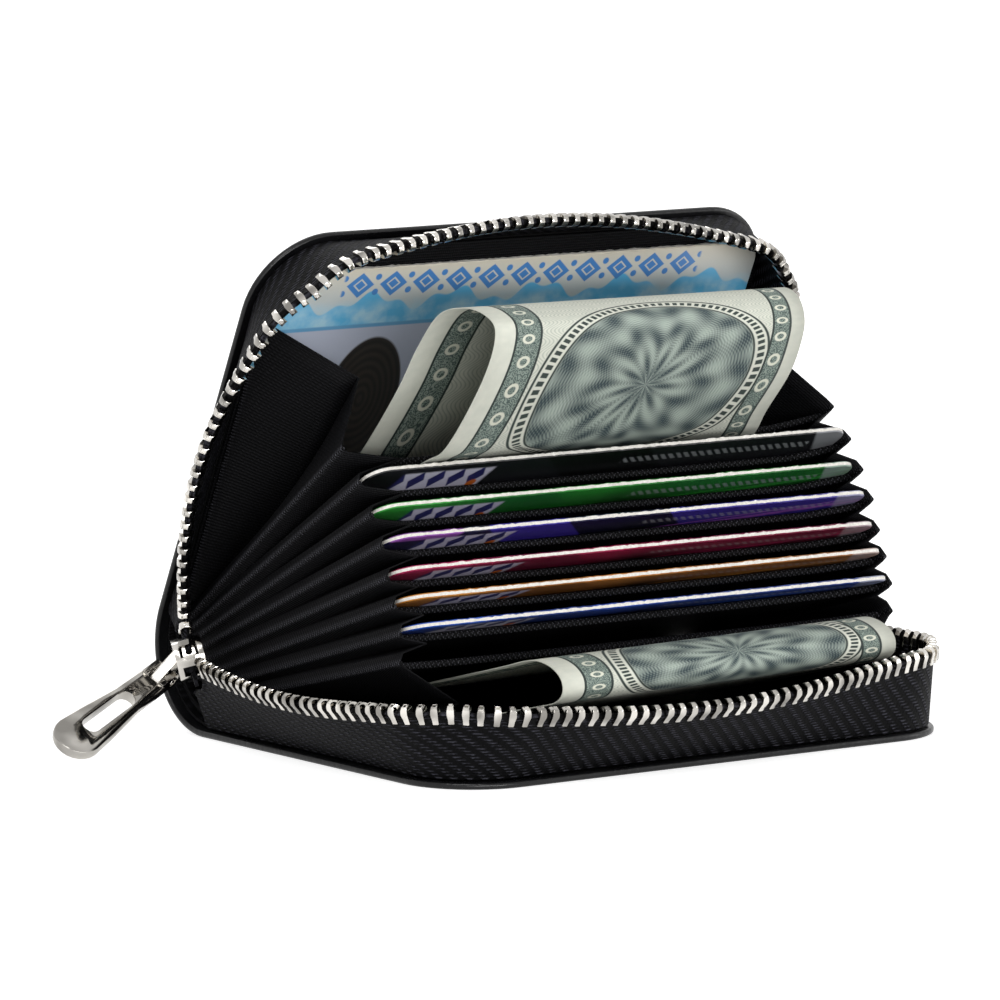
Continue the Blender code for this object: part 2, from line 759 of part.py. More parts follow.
def bottom_stop():
    """The clamp that closes the chain behind the slider."""
    bm = bmesh.new()
    start = slider_length / 2 + seat_gap
    verts = box(bm, (web_thickness / 2 + seat_gap, start, -chain_core_half),
                (shoulder_half, start + stop_length, chain_core_half))
    round_corners(bm, edges_along(verts, 0), leg_half / 2, 2)
    stop = add_object("zip_bottom_stop", bm, "nickel")
    stop.matrix_world = slider_place
    return stop


def pull_parts():
    """The bar through the bail and the drop-shaped tab whose fork holds it."""
    place = frame_matrix(bar_centre, pull_direction, pull_axis.cross(pull_direction))
    bar_bm = bmesh.new()
    rod(bar_bm, bar_radius, -ear_end, ear_end, 12)
    bar = add_object("pull_bar", bar_bm, "nickel")
    bar.matrix_world = place
    tab_bm = bmesh.new()
    tail = pull_length - pull_tail / 2
    side = [(pull_fork, pull_neck / 2), (pull_fork + (tail - pull_fork) * 0.35, pull_neck / 2 * 1.04),
            (pull_fork + (tail - pull_fork) * 0.75, pull_tail / 2 * 0.9)]
    turns = [math.pi / 2 * (1 - k / 6) for k in range(13)]
    round_end = [(tail + pull_tail / 2 * math.cos(a), pull_tail / 2 * math.sin(a)) for a in turns]
    outline = side + round_end + [(x, -z) for x, z in reversed(side)]
    face = tab_bm.faces.new([tab_bm.verts.new((x, -pull_thickness / 2, z)) for x, z in outline])
    grown = bmesh.ops.extrude_face_region(tab_bm, geom=[face])["geom"]
    moved = [g for g in grown if isinstance(g, bmesh.types.BMVert)]
    bmesh.ops.translate(tab_bm, vec=(0, pull_thickness, 0), verts=moved)
    rim = [e for e in tab_bm.edges if abs(e.verts[0].co.y - e.verts[1].co.y) < pull_thickness / 2]
    round_corners(tab_bm, rim, pull_edge, 2)
    tab = add_object("pull_tab", tab_bm, "nickel")
    tab.matrix_world = place
    for name, sign in (("upper_ear", 1), ("lower_ear", -1)):
        ear = bmesh.new()
        ends = sorted((sign * ear_start, sign * ear_end))
        box(ear, (-bail_hole - bar_radius, -bail_hole - bar_radius, ends[0]),
            (pull_fork + pull_edge, bail_hole + bar_radius, ends[1]))
        round_corners(ear, [e for e in edges_along(ear.verts, 2) if e.verts[0].co.x < 0], bail_hole, 4)
        join(tab, ear, name)
        eye = bmesh.new()
        rod(eye, bail_hole, *sorted((sign * bar_radius, sign * 2 * ear_end)), 12)
        cut(tab, eye, name + "_hole")
    slot = bmesh.new()
    middle = pull_fork + (pull_length - pull_fork) * 0.5
    verts = box(slot, (middle - pull_hole_length / 2, -pull_thickness, -pull_hole_width / 2),
                (middle + pull_hole_length / 2, pull_thickness, pull_hole_width / 2))
    round_corners(slot, edges_along(verts, 1), pull_hole_width / 2.2, 4)
    cut(tab, slot, "pull_slot")


def build_contents(upper_frame, divider_frames):
    on_leaf = divider_cloth / 2 + card_clearance
    for index, (colour, share) in enumerate(card_inset_shares.items()):
        card("card_" + colour, colour, share * card_height, on_leaf, divider_frames[index + 1])
    under_lining = hinge_height - lining_top - card_clearance - card_thickness
    card("id_card", "id_card", id_card_inset, under_lining, upper_frame)
    note("banknote_upper", upper_note_left_shares, upper_note_right_shares, 0, upper_note_offset,
         divider_frames[0])
    lower_frame = add_empty("lower_note_place", (0, pivot_of(DIVIDERS - 1).y, lining_top))
    left, right = [[(r + lower_note_skew_share * side, b) for r, b in lower_note_shares] for side in (0.5, -0.5)]
    note("banknote_lower", left, right, note_thickness, lower_note_offset, lower_frame)


def build():
    lower_frame = add_empty("lower_half", hinge_point)
    upper_frame = add_empty("upper_half", hinge_point, (-open_angle, 0, 0))
    upper_turned = add_empty("upper_half_turned", (0, 0, 0), (0, math.pi, 0), upper_frame)
    build_half(Half("lower", lower_flare, -1, lower_frame))
    build_half(Half("upper", upper_flare, 1, upper_turned))
    build_spine()
    divider_frames = [divider_parent(index) for index in range(DIVIDERS)]
    for index, frame in enumerate(divider_frames):
        divider(index, frame)
    gusset("left_gusset", -1, gusset_depth_left)
    gusset("right_gusset", 1, gusset_depth_right)
    slider_body()
    chain_end()
    bottom_stop()
    pull_parts()
    build_contents(upper_frame, divider_frames)


build()
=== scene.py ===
import math

import bmesh
import bpy
from mathutils import Matrix, Vector, noise


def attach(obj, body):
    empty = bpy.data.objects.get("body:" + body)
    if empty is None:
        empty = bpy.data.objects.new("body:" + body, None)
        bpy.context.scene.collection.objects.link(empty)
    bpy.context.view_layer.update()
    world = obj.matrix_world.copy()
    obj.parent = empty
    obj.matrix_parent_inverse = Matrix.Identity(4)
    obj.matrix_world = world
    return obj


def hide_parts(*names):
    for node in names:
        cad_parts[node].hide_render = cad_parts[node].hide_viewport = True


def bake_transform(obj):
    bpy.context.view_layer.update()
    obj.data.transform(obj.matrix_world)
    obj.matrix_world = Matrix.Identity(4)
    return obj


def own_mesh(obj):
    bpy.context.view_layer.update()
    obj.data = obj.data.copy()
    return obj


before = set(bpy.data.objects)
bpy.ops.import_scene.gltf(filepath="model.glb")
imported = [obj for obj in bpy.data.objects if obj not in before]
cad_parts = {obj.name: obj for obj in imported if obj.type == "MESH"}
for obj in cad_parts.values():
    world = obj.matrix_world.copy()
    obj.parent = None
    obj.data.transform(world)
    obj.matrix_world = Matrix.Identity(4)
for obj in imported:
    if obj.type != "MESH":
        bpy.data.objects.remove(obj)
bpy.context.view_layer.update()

MM = 0.001

# The wallet's driving sizes, as in the part's source.
wallet_length = 92 * MM
cover_depth = 62.5 * MM
cover_corner = 12 * MM
leather = 1.0 * MM
lining_top = 2.8 * MM
hinge = Vector((0, 31.25 * MM, 12.5 * MM))
open_angle = math.radians(64.3)
across_upper = Vector((0, math.sin(open_angle), math.cos(open_angle)))
unzipped_angle = math.radians(8.3)
seat_gap = 0.3 * MM
hide_round = 0.42 * MM
stitch_pitch, stitch_inset = 3 * MM, 1.1 * MM
stitch_size = (2.3 * MM, 0.42 * MM, 0.3 * MM)

# The zip's tape, its two cleared ends, and its teeth.
tape_inset = 1.0 * MM
tape_foot = 2.0 * MM
tape_width = 10.4 * MM
tape_thickness = 0.6 * MM
tape_root = 0.65 * MM
bead_radius, lead_cord_radius = 0.5 * MM, 0.55 * MM
near_clear = 5.3 * MM
far_clear = 4.2 * MM
end_stop = 1.6 * MM
tooth_pitch = 2.1 * MM
leg_length = 1.35 * MM
tip_rise = 1.4 * MM
small_break, large_break = (0.1 * MM, 2), (0.2 * MM, 3)
lower_flare = [math.radians(a) for a in (20, 41, 26, 44, 4, 4, 11)]
upper_flare = [math.radians(a) for a in (18, 48, 14, 39, -5, 9, 9)]

# The slider, parked at the spine's left end.
slider_place = (Matrix.Translation(Vector((-48.55, 30.45, 12.1)) * MM) @ Matrix.Rotation(math.radians(-30), 4, "Z")
                @ Matrix.Rotation(math.radians(-14), 4, "Y"))

# Cards, dividers and the pleats between them.
card_width, card_height, card_thickness = 85.6 * MM, 54.0 * MM, 0.76 * MM
card_corner = 3.2 * MM
card_lift = 0.37 * MM
card_clearance = 0.22 * MM
divider_width = 87 * MM
divider_angles = [math.radians(a) for a in (36.2, 31.0, 27.0, 23.6, 20.5, 18.1, 15.8, 13.8)]
divider_shut_angles = [math.radians(0.5 + 0.8 * k) for k in range(7, -1, -1)]
divider_cloth, divider_bead = 0.26 * MM, 0.25 * MM
roll_radius = 0.34 * MM
cloth_sag, pleat_sag = 0.2 * MM, 0.35 * MM
mouth_recess, mouth_shoulder = 4.8 * MM, 8.0 * MM
divider_shares = (0.965, 1.002, 1.024, 1.039, 1.035, 1.033, 1.019, 0.965)
cover_leaf_share, lower_leaf_share = 0.926, 0.95
pivot_radius = 9.15 * MM
lowest_pivot = 4.0 * MM
pivot_pitch = 1.5 * MM
gusset_start = 3.5 * MM
gusset_ridge = 44.2 * MM
gusset_shoulder = 43.35 * MM
over_card = 1.45 * MM
under_card = 0.6 * MM
gusset_cloth = 0.22 * MM
gusset_binding = 0.45 * MM
gusset_depths = {"left": 9.0 * MM, "right": 4.5 * MM}

# The folded notes: shares of the card height along and above what they lie on.
note_width = 64 * MM
note_paper = 0.16 * MM
upper_note_left_shares = ((0.37, -0.018), (0.56, -0.027), (0.74, -0.04), (0.93, -0.064), (1.02, -0.084),
                          (1.1, -0.1), (1.25, -0.072), (1.4, -0.023), (1.478, 0.035), (1.459, 0.095),
                          (1.392, 0.155), (1.286, 0.198), (1.15, 0.178), (1.013, 0.137), (0.816, 0.097),
                          (0.55, 0.06), (0.3, 0.035))
upper_note_right_shares = ((0.37, -0.018), (0.56, -0.02), (0.74, -0.023), (0.84, -0.026), (0.91, -0.02),
                           (0.976, 0.0), (1.13, 0.032), (1.235, 0.086), (1.272, 0.133), (1.273, 0.184),
                           (1.24, 0.228), (1.184, 0.245), (1.08, 0.228), (0.95, 0.19), (0.78, 0.14),
                           (0.55, 0.08), (0.3, 0.035))
lower_note_shares = ((0.3, 0.06), (0.5, 0.11), (0.66, 0.149), (0.8, 0.184), (0.9, 0.209), (0.98, 0.23),
                     (1.05, 0.249), (1.11, 0.257), (1.17, 0.246), (1.21, 0.22), (1.215, 0.185), (1.185, 0.158),
                     (1.12, 0.14), (1.0, 0.112), (0.8, 0.063), (0.6, 0.014), (0.5, 0.008))
lower_note_skew_share = 0.107
upper_note_offset, lower_note_offset = -0.8 * MM, 2.9 * MM

# Each card's inset from its turning line, in millimetres or as a share of its height, and its ground and sweeps.
pocket_inset = 4 * MM
CARDS = {"black": (0.048, "#0f1011", "#1c1d22", "#121216"),
         "green": (0.05, "#2a8a30", "#176322", "#36a03a"),
         "purple": (0.074, "#1a1740", "#4a3abc", "#b062cc"),
         "maroon": (0.076, "#9c1c4a", "#6a1436", "#b22a5e"),
         "brown": (0.076, "#c27a2a", "#875217", "#d08a36"),
         "navy": (0.065, "#1843a6", "#0e2e74", "#235cc4")}

# The camera and the softboxes, in metres, degrees and watts.
camera_lens, camera_place, camera_turn = 270.0, (-0.6405, -0.8631, 0.1735), (90 - 7.37, 0, -35.92)
light_target = (0, 0, 0.03)
SOFTBOXES = (("key", 3.0, (-0.55, -0.45, 0.7), (0.5, 0.4)),
             ("low_front", 5.0, (-0.2, -0.95, 0.07), (0.9, 0.12)),
             ("right", 1.6, (0.75, -0.45, 0.22), (0.3, 0.4)),
             ("back", 1.2, (0.2, 0.7, 0.6), (0.6, 0.3)))


# --- materials -------------------------------------------------------------

def linear(hex_colour):
    """A six-figure sRGB colour as the linear RGBA that the shaders take."""
    parts = [int(hex_colour[k:k + 2], 16) / 255 for k in (1, 3, 5)]
    return tuple(c / 12.92 if c <= 0.04045 else ((c + 0.055) / 1.055) ** 2.4 for c in parts) + (1.0,)


def math_method(operation):
    return lambda self, *others, **settings: self.into("Math", *others, operation=operation, **settings)


class Value:
    """A node's output; arithmetic on it adds the Math nodes that work it out, and | is the larger of two."""
    __add__, __sub__, __mul__ = math_method("ADD"), math_method("SUBTRACT"), math_method("MULTIPLY")
    __truediv__, __pow__, __abs__ = math_method("DIVIDE"), math_method("POWER"), math_method("ABSOLUTE")
    __or__, sine, floor = math_method("MAXIMUM"), math_method("SINE"), math_method("FLOOR")

    def __init__(self, tree, socket):
        self.tree, self.socket = tree, socket

    def into(self, kind, *values, **settings):
        """The output of a new node that takes this value first."""
        return add(self.tree, kind, self, *values, **settings)


def put(socket, value):
    """Links a Value to an input, or sets the input to a hex colour or a number."""
    if isinstance(value, Value):
        value.tree.links.new(value.socket, socket)
    else:
        socket.default_value = linear(value) if isinstance(value, str) else value


def fill(inputs, **values):
    """Puts values into inputs by their names, with _ for a space."""
    for name, value in values.items():
        put(inputs[name.replace("_", " ")], value)


def add(tree, kind, *values, output=None, **settings):
    """Adds a node and returns its first output, or the named one, or a list of the named ones.

    Values go into its inputs in order. Settings are its properties, or inputs by name."""
    node = tree.nodes.new("ShaderNode" + kind)
    named = {key: value for key, value in settings.items() if not hasattr(node, key)}
    for key in settings:
        if key not in named:
            setattr(node, key, settings[key])
    for socket, value in zip([s for s in node.inputs if s.enabled], values):
        put(socket, value)
    fill(node.inputs, **named)
    if isinstance(output, tuple):
        return [Value(tree, node.outputs[name]) for name in output]
    return Value(tree, node.outputs[output] if output else [s for s in node.outputs if s.enabled][0])


def shade(mat, **values):
    """Puts values into a material's shader and gives the material back."""
    fill(mat.node_tree.nodes["Principled BSDF"].inputs, **values)
    return mat


def new_material(name, colour, roughness, metallic=0.0, **extra):
    mat = bpy.data.materials.new(name)
    mat.use_nodes = True
    mat.diffuse_color = linear(colour)
    return shade(mat, Base_Color=colour, Roughness=roughness, Metallic=metallic, **extra), mat.node_tree


def surface(mat, colour, height, strength, depth, **more):
    """A material with its colour and its relief."""
    relief = add(mat.node_tree, "Bump", Height=height, Strength=strength, Distance=depth)
    return shade(mat, Base_Color=colour, Normal=relief, **more)


def band(value, low, high, soft=0.08):
    """1 between two values, with soft sides."""
    fallen = value.into("MapRange", high - soft, high + soft)
    return value.into("MapRange", low - soft, low + soft).into("Math", fallen, operation="SUBTRACT", use_clamp=True)


def wave(value, pitch):
    return (value * (math.tau / pitch)).sine()


def crests(value, pitch, low=-1, high=1):
    """A wave as 0 to 1, flat below low and above high."""
    return wave(value, pitch).into("MapRange", low, high)


def folded(value, half_pitch):
    """A value that runs up and down between 0 and half_pitch."""
    return value.into("Math", half_pitch, operation="PINGPONG")


def length_of(a, b):
    return (a ** 2 + b ** 2).into("Math", operation="SQRT")


def painted(colour, *layers):
    """A colour with others laid over it in turn, each by its mask."""
    for mask, over in layers:
        colour = mask.into("Mix", colour, over, data_type="RGBA")
    return colour


def in_space(tree):
    """The piece's own coordinates, in metres."""
    return add(tree, "TexCoord", output="Object")


def on_sheet(tree, solid=False):
    """A flat x and y in millimetres, from the UV or from a solid's own length and rise."""
    if not solid:
        return add(tree, "TexCoord", output="UV").into("SeparateXYZ", output=("X", "Y"))
    x, y, z = in_space(tree).into("SeparateXYZ", output=("X", "Y", "Z"))
    return x * (1 / MM), (z - y * 0.5) * (1 / MM)


def black_grain_leather():
    """Waxed cowhide: pebbles about 0.8 mm across in soft creases, shinier where it is handled."""
    mat, tree = new_material("black_grain_leather", "#0e0e0f", 0.38, Specular_IOR_Level=0.3)
    pebble, crease, handling = 0.8 * MM, 2.4 * MM, 9 * MM
    where = in_space(tree)
    pebbles = where.into("TexVoronoi", feature="SMOOTH_F1", Scale=1 / pebble, Smoothness=0.6)
    creases = where.into("TexNoise", Scale=1 / crease, Detail=6.0, Roughness=0.6)
    handled = where.into("TexNoise", Scale=1 / handling, Detail=3.0)
    return surface(mat, painted("#080809", (creases, "#111113")), pebbles + creases, 0.35, 0.12 * MM,
                   Roughness=handled.into("MapRange", 0.3, 0.7, 0.22, 0.42))


def grosgrain(name, solid=False, painted_fold_highlight=0.0):
    """Black ribbed lining: ribs across the cloth, each a row of short yarn crowns with a painted highlight on them.

    Where the fold highlight is set, a painted highlight lies on the crowns that far in from the cloth's fold."""
    mat, tree = new_material(name, "#070708", 0.62, Specular_IOR_Level=0.08)
    slub_size, rib_pitch, yarn_pitch = 1.1 * MM, 0.5, 0.36
    x, y = on_sheet(tree, solid)
    slub = in_space(tree).into("TexNoise", Scale=1 / slub_size, Detail=3.0)
    ribs = crests(y + slub * 0.25, rib_pitch)
    yarn = crests(x + y * 0.5, yarn_pitch)
    crown = (ribs * yarn.into("MapRange", 0.0, 1.0, 0.55, 1.0)) ** 2.5
    # Painted highlight: the yarn crowns are painted paler than the black cloth, for the light they catch.
    colour = painted("#060607", (crown, "#1d1d20"))
    # Painted highlight along the fold: near it the crowns are painted paler still.
    if painted_fold_highlight:
        colour = painted(colour, (x.into("MapRange", painted_fold_highlight, 0.0) * crown, "#5c5c63"))
    return surface(mat, colour, ribs + yarn * 0.35, 0.9, 0.08 * MM)


def braided_zip_tape():
    """Woven zip tape: 2.2 mm floats of yarn in 0.5 mm rows, each row stepped on from the last into slanting ribs."""
    mat, tree = new_material("braided_zip_tape", "#0b0b0d", 0.6, Specular_IOR_Level=0.06)
    slub_size, float_pitch, row_pitch = 0.6 * MM, 2.2, 0.52
    x, y = on_sheet(tree)
    slub = in_space(tree).into("TexNoise", Scale=1 / slub_size, Detail=4.0)
    level = y + slub * 0.35
    row = (level / row_pitch).floor()
    floats = crests(x + row * row_pitch, float_pitch, -0.45, 0.6)
    rows = crests(level - row_pitch / 4, row_pitch, -0.9, 0.7)
    height = floats * rows
    lit = height ** 1.5 * slub.into("MapRange", 0.35, 0.62, 0.2, 1.0)
    return surface(mat, painted("#060607", (lit, "#42424a")), height + slub * 0.4, 1.0, 0.3 * MM)


def binding_braid():
    """Corded binding: slanting 0.5 mm cords, each with a row of yarn crowns that carry a painted highlight."""
    mat, tree = new_material("corded_edge_binding", "#0a0a0b", 0.6, Specular_IOR_Level=0.1)
    cord_pitch, crown_pitch = 0.62, 0.5
    x, y = on_sheet(tree)
    cords = crests(x + y * 0.7, cord_pitch, -0.8)
    crowns = crests(y - x * 0.12, crown_pitch, -0.4)
    lit = (cords * crowns) ** 1.6
    return surface(mat, painted("#060607", (lit, "#56565c")), cords * (crowns + 0.4), 1.0, 0.16 * MM)


def polished_nickel(name, colour, roughness):
    """Bright nickel plate on zinc and brass: near mirror, with a faint haze from handling."""
    mat, tree = new_material(name, colour, roughness, 1.0)
    haze_size, dull_size = 1.6 * MM, 4 * MM
    haze = in_space(tree).into("TexNoise", Scale=1 / haze_size, Detail=4.0)
    dull = in_space(tree).into("TexNoise", Scale=1 / dull_size, Detail=1.0)
    return surface(mat, painted("#8b8883", (dull.into("MapRange", 0.35, 0.65), colour)), haze, 0.1, 0.05 * MM,
                   Roughness=haze.into("MapRange", 0.3, 0.75, roughness * 0.6, roughness * 1.7))


def black_board():
    """Dyed fibre board: dull near-black with fibres, so that no pale line shows at the covers' edges."""
    mat, tree = new_material("black_fibre_board", "#0f0f10", 0.9, Specular_IOR_Level=0.1)
    fibre_size = 0.6 * MM
    fibre = in_space(tree).into("TexNoise", Scale=1 / fibre_size, Detail=5.0)
    return surface(mat, painted("#0b0b0c", (fibre, "#161617")), fibre, 0.5, 0.08 * MM)


def cut_rim(mat, print_colour):
    """A printed material with the white core and torn film where the card was die-cut."""
    tree, fray_size = mat.node_tree, 0.4 * MM
    fray = in_space(tree).into("TexNoise", Scale=1 / fray_size, Detail=3.0)
    rim = add(tree, "Attribute", output="Fac", attribute_name="cut_edge")
    core = painted("#b9b5ad", (fray, "#f4f1ea"))
    return surface(mat, painted(print_colour, (rim, core)), fray * rim, 0.8, 0.1 * MM)


def printed_card(name, ground, deep, bright):
    """Offset print under a gloss film: two slanting sweeps, a pale badge of navy lozenges and a hatched strip.

    Its places are in millimetres from the card's middle, and the mouth is at y = -27."""
    mat, tree = new_material(name + "_pvc_card", ground, 0.3, Coat_Weight=0.25, Coat_Roughness=0.1)
    cloud_size = 25
    x, y = on_sheet(tree)
    lean = x - y * 0.9
    cloud = add(tree, "TexCoord", output="UV").into("TexNoise", Scale=1 / cloud_size, Detail=1.0)
    sweep = y + x * 0.17
    streaks = band(sweep, -18.4, -17.9) | band(sweep, -17.2, -15.8)
    corner = band(x, -45, -31, 0.4) * band(y, -28, -25.2, 0.2)
    badge = band(x, -36.5, -20.5, 0.3) * band(y, -25.2, -18.5, 0.3)
    lozenges = (folded(x + 36.5, 1.75) + abs(y + 22.6) * 0.45).into("MapRange", 1.45, 1.25)
    spot = length_of(x + 21.9, (y + 20.0) * 0.7).into("MapRange", 0.9, 0.7)
    strip = band(x, 3, 37, 0.2) * band(y, -24.2, -22.4, 0.12)
    hatch = band(folded(lean, 0.7), 0.3, 2.0, 0.1)
    end = (x - y * 0.5).into("MapRange", 49.5, 50.0)
    # The first layer is painted shade: the print darkens towards near black from y = -25.5 to -19, deeper in the
    # pocket where the divider above shades it, and a random darker cloud is added to it.
    return cut_rim(mat, painted(
        ground,
        (cloud.into("MapRange", 0.35, 0.65) * 0.5 + y.into("MapRange", -25.5, -19, 0.0, 0.6), "#060608"),
        (band(lean, -2, 12, 0.2) * 0.6, deep),
        (band(lean, 30, 90, 0.2) * 0.5, deep),
        ((corner | streaks) * 0.6, bright),
        (badge, painted("#c4c1d2", (lozenges, "#26265e"), (spot, "#c8641e"))),
        (strip * hatch * 0.3, "#c6c9cf"),
        (end * 0.4, "#c4c6cc")))


def printed_id_card():
    """Laminated card: a beige head with a blue lattice, a ragged blue band, and a lilac field with an oval.

    Its places are in millimetres from the card's middle, and the mouth is at y = -27."""
    mat, tree = new_material("printed_id_pvc_card", "#9db7d2", 0.32, Coat_Weight=0.2, Coat_Roughness=0.15)
    haze_size = 100 / 22
    x, y = on_sheet(tree)
    shore = y + (wave(x, 15.0) * 1.2 + wave(x, 5.6) * 0.6)
    haze = add(tree, "TexCoord", output="UV").into("TexNoise", Scale=1 / haze_size, Detail=4.0)
    # The lattice: large diamonds with a hollow ring in each, and small dots between them.
    column, row = folded(x, 2.9), abs(y + 24.3)
    large = column + row * 1.15
    small = length_of(column - 2.9, row - 1.25)
    window = band(x, -32, 32, 0.2) * band(y, -26.6, -21.9, 0.1)
    marks = (large.into("MapRange", 2.5, 2.3) | small.into("MapRange", 0.6, 0.45)) * window
    marks = marks.into("Math", band(large, 0.9, 1.25), operation="SUBTRACT", use_clamp=True)
    oval = length_of((x + 23.4) / 6.6, (y + 4.8) / 10.5)
    rings = crests(oval, math.tau / 46)
    return cut_rim(mat, painted(
        "#dcd5c4",
        (y.into("MapRange", -27, -21), "#c9d3d6"),
        (band(shore, -21.4, 60, 0.15), "#62bbe8"),
        (haze.into("MapRange", 0.4, 0.62) * band(y, -21, -17, 1.0), "#b4dcef"),
        (band(y, -17.4, 60, 0.1), "#c2c8da"),
        (band(y, -17.7, -17.1, 0.1), "#6aa8d2"),
        (marks, "#4a88cc"),
        (oval.into("MapRange", 1.02, 0.98), painted("#1d1917", (rings, "#332b27")))))


def engraved_note():
    """Cotton note paper with grey-green line work: a laced oval in a beaded frame between two edge bands.

    Its places are in millimetres from the sheet's left inner corner; far is 1 on the oval's edge."""
    mat, tree = new_material("engraved_note_paper", "#dcdccb", 0.75)
    fibre_size, mottle_size, cell_size, half_rule = 0.5 * MM, 2, 10 / 13, 0.22
    x, y = on_sheet(tree)
    flat = add(tree, "TexCoord", output="UV")
    mottle = flat.into("TexNoise", Scale=1 / mottle_size, Detail=4.0)
    across, down = (x - 34) / 20.5, (y - 50) / 21.0
    far = length_of(across, down)
    turn = down.into("Math", across, operation="ARCTAN2")
    # The oval's rose: nine petals, two sets of fine rings that cross on them, and an eighteen-point star.
    petals = wave(turn, math.tau / 9)
    lace = wave(far + petals * 0.05, math.tau / 210)
    web = wave(far - petals * 0.06, math.tau / 190)
    bloom = wave(far * 15.0 + petals * 1.3, math.tau).into("MapRange", -1, 1, 0.25, 0.8)
    star = wave(turn * 18 - far * 6.0, math.tau)
    ink = ((lace + web) * 0.12).into("Math", bloom + star * 0.16, operation="ADD", use_clamp=True)
    # Round it: fine wavy lines as a ground, a row of beads, and two rules.
    fine = crests(x + wave(y, 5.7) * 1.2, 0.8, 0.0, 0.8)
    ground = band(x, 9, 57.5, 0.1) * (fine * far.into("MapRange", 1.17, 1.19))
    beads = band(far, 1.05, 1.12, 0.006) * band(wave(turn, math.tau / 96), -0.3, 2, 0.2)
    rules = band(far, 1.0, 1.022, 0.005) | band(far, 1.145, 1.17, 0.005)
    colour = painted(
        "#c3c7bb",
        (mottle, "#dcdccf"),
        (far.into("MapRange", 1.005, 0.995), painted("#a4b0a6", (ink, "#22343a"))),
        (ground * 0.35, "#6c7d72"),
        (beads | rules, "#26332f"))
    # Along both sides: a mottled band between two rules, with a row of pale rings.
    cells = flat.into("TexVoronoi", feature="F1", Scale=1 / cell_size)
    for low, high in ((4.2, 9.2), (57.4, 61.0)):
        mesh = crests(cells, math.tau / 16)
        ring = length_of(folded(y, 2.6), x - (low + high) / 2)
        colour = painted(
            colour,
            (band(x, low, high, 0.06), painted("#3b4c49", (mesh, "#8d9a90"))),
            *[(band(x, edge - half_rule, edge + half_rule, 0.04), "#202b28") for edge in (low, high)],
            (band(ring, 0.7, 1.25), "#d5d6c6"))
    fibre = in_space(tree).into("TexNoise", Scale=1 / fibre_size, Detail=4.0)
    return surface(mat, colour, fibre, 0.25, 0.05 * MM)


# --- building --------------------------------------------------------------

def mesh_of(name, bm):
    mesh = bpy.data.meshes.new(name)
    bm.to_mesh(mesh)
    bm.free()
    return mesh


def in_scene(name, data):
    obj = bpy.data.objects.new(name, data)
    bpy.context.scene.collection.objects.link(obj)
    return obj


def piece(name, bm, material, body=None, replaced=(), smooth=None):
    """A finished object at the origin; with a body it rides on that body."""
    mesh = mesh_of(name, bm)
    obj = in_scene(name, mesh)
    mesh.materials.append(material)
    if smooth is not None:
        mesh.shade_smooth()
        mesh.set_sharp_from_angle(angle=math.radians(smooth))
    if replaced:
        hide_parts(*replaced)
    if body:
        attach(obj, body)
    return obj


def sheet_modifier(obj, thickness):
    mod = obj.modifiers.new("cloth", "SOLIDIFY")
    mod.thickness = thickness
    mod.offset = 0


def mapped_grid(columns, rows, place, flat_place, tube=False):
    """A grid moved point by point onto a surface, with a UV in millimetres; a tube is joined along its sides."""
    bm = bmesh.new()
    bmesh.ops.create_grid(bm, x_segments=columns, y_segments=rows, size=0.5)
    layer = bm.loops.layers.uv.new("print")
    for face in bm.faces:
        for loop in face.loops:
            u, v = loop.vert.co.x + 0.5, loop.vert.co.y + 0.5
            loop[layer].uv = [c / MM for c in flat_place(u, v)]
    for vert in bm.verts:
        vert.co = place(vert.co.x + 0.5, vert.co.y + 0.5)
    if tube:
        bmesh.ops.remove_doubles(bm, verts=bm.verts, dist=0.001 * MM)
        bmesh.ops.holes_fill(bm, edges=[e for e in bm.edges if len(e.link_faces) == 1], sides=0)
    bmesh.ops.recalc_face_normals(bm, faces=bm.faces)
    return bm


def block(bm, low, high):
    """Adds a box between two corners."""
    for vert in bmesh.ops.create_cube(bm, size=1.0)["verts"]:
        vert.co = Vector([low[k] if vert.co[k] < 0 else high[k] for k in range(3)])


def axes(x, y, z):
    """A matrix that turns a mesh's own axes to these directions."""
    return Matrix((x, y, z)).transposed().to_4x4()


def round_about(side, up, turn):
    """A point on the ellipse whose two radii are side and up."""
    return side * math.cos(math.tau * turn) + up * math.sin(math.tau * turn)


def hung(pivot, angle):
    """The place of what stands on a line at the spine, tilted up by an angle."""
    return Matrix.Translation(pivot) @ Matrix.Rotation(-angle, 4, "X")


def round_edges(bm, edges, radius, segments):
    bmesh.ops.bevel(bm, geom=edges, offset=radius, segments=segments, profile=0.5, affect="EDGES", material=-1,
                    clamp_overlap=True)


def turned_edges(bm, degrees):
    return [e for e in bm.edges if len(e.link_faces) == 2 and e.calc_face_angle() > math.radians(degrees)]


def upright_edges(bm):
    return [e for e in bm.edges if (e.verts[0].co - e.verts[1].co).normalized().z ** 2 > 0.99]


def rounded_copy(name, node, body, material, radius, segments):
    """A solid's own shape with its hard edges broken."""
    bm = bmesh.new()
    bm.from_mesh(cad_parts[node].data)
    bmesh.ops.remove_doubles(bm, verts=bm.verts, dist=0.002 * MM)
    bmesh.ops.dissolve_limit(bm, angle_limit=math.radians(1), verts=bm.verts, edges=bm.edges)
    round_edges(bm, turned_edges(bm, 35), radius, segments)
    piece(name, bm, material, body, [node], smooth=40)


# --- the two halves --------------------------------------------------------

class Half:
    """One cover with its zip: its frame on the hinge line, its left side's sign and its tape's lean."""
    def __init__(self, side, left, leans, turn):
        self.side, self.left, self.leans, self.turn = side, left, leans, turn
        self.body = side + "_half"


corner_bend = cover_corner - tape_inset
corner_arc = corner_bend * math.pi / 2
side_run = cover_depth - cover_corner
front_run = wallet_length - 2 * cover_corner
base_length = 2 * (side_run + corner_arc) + front_run


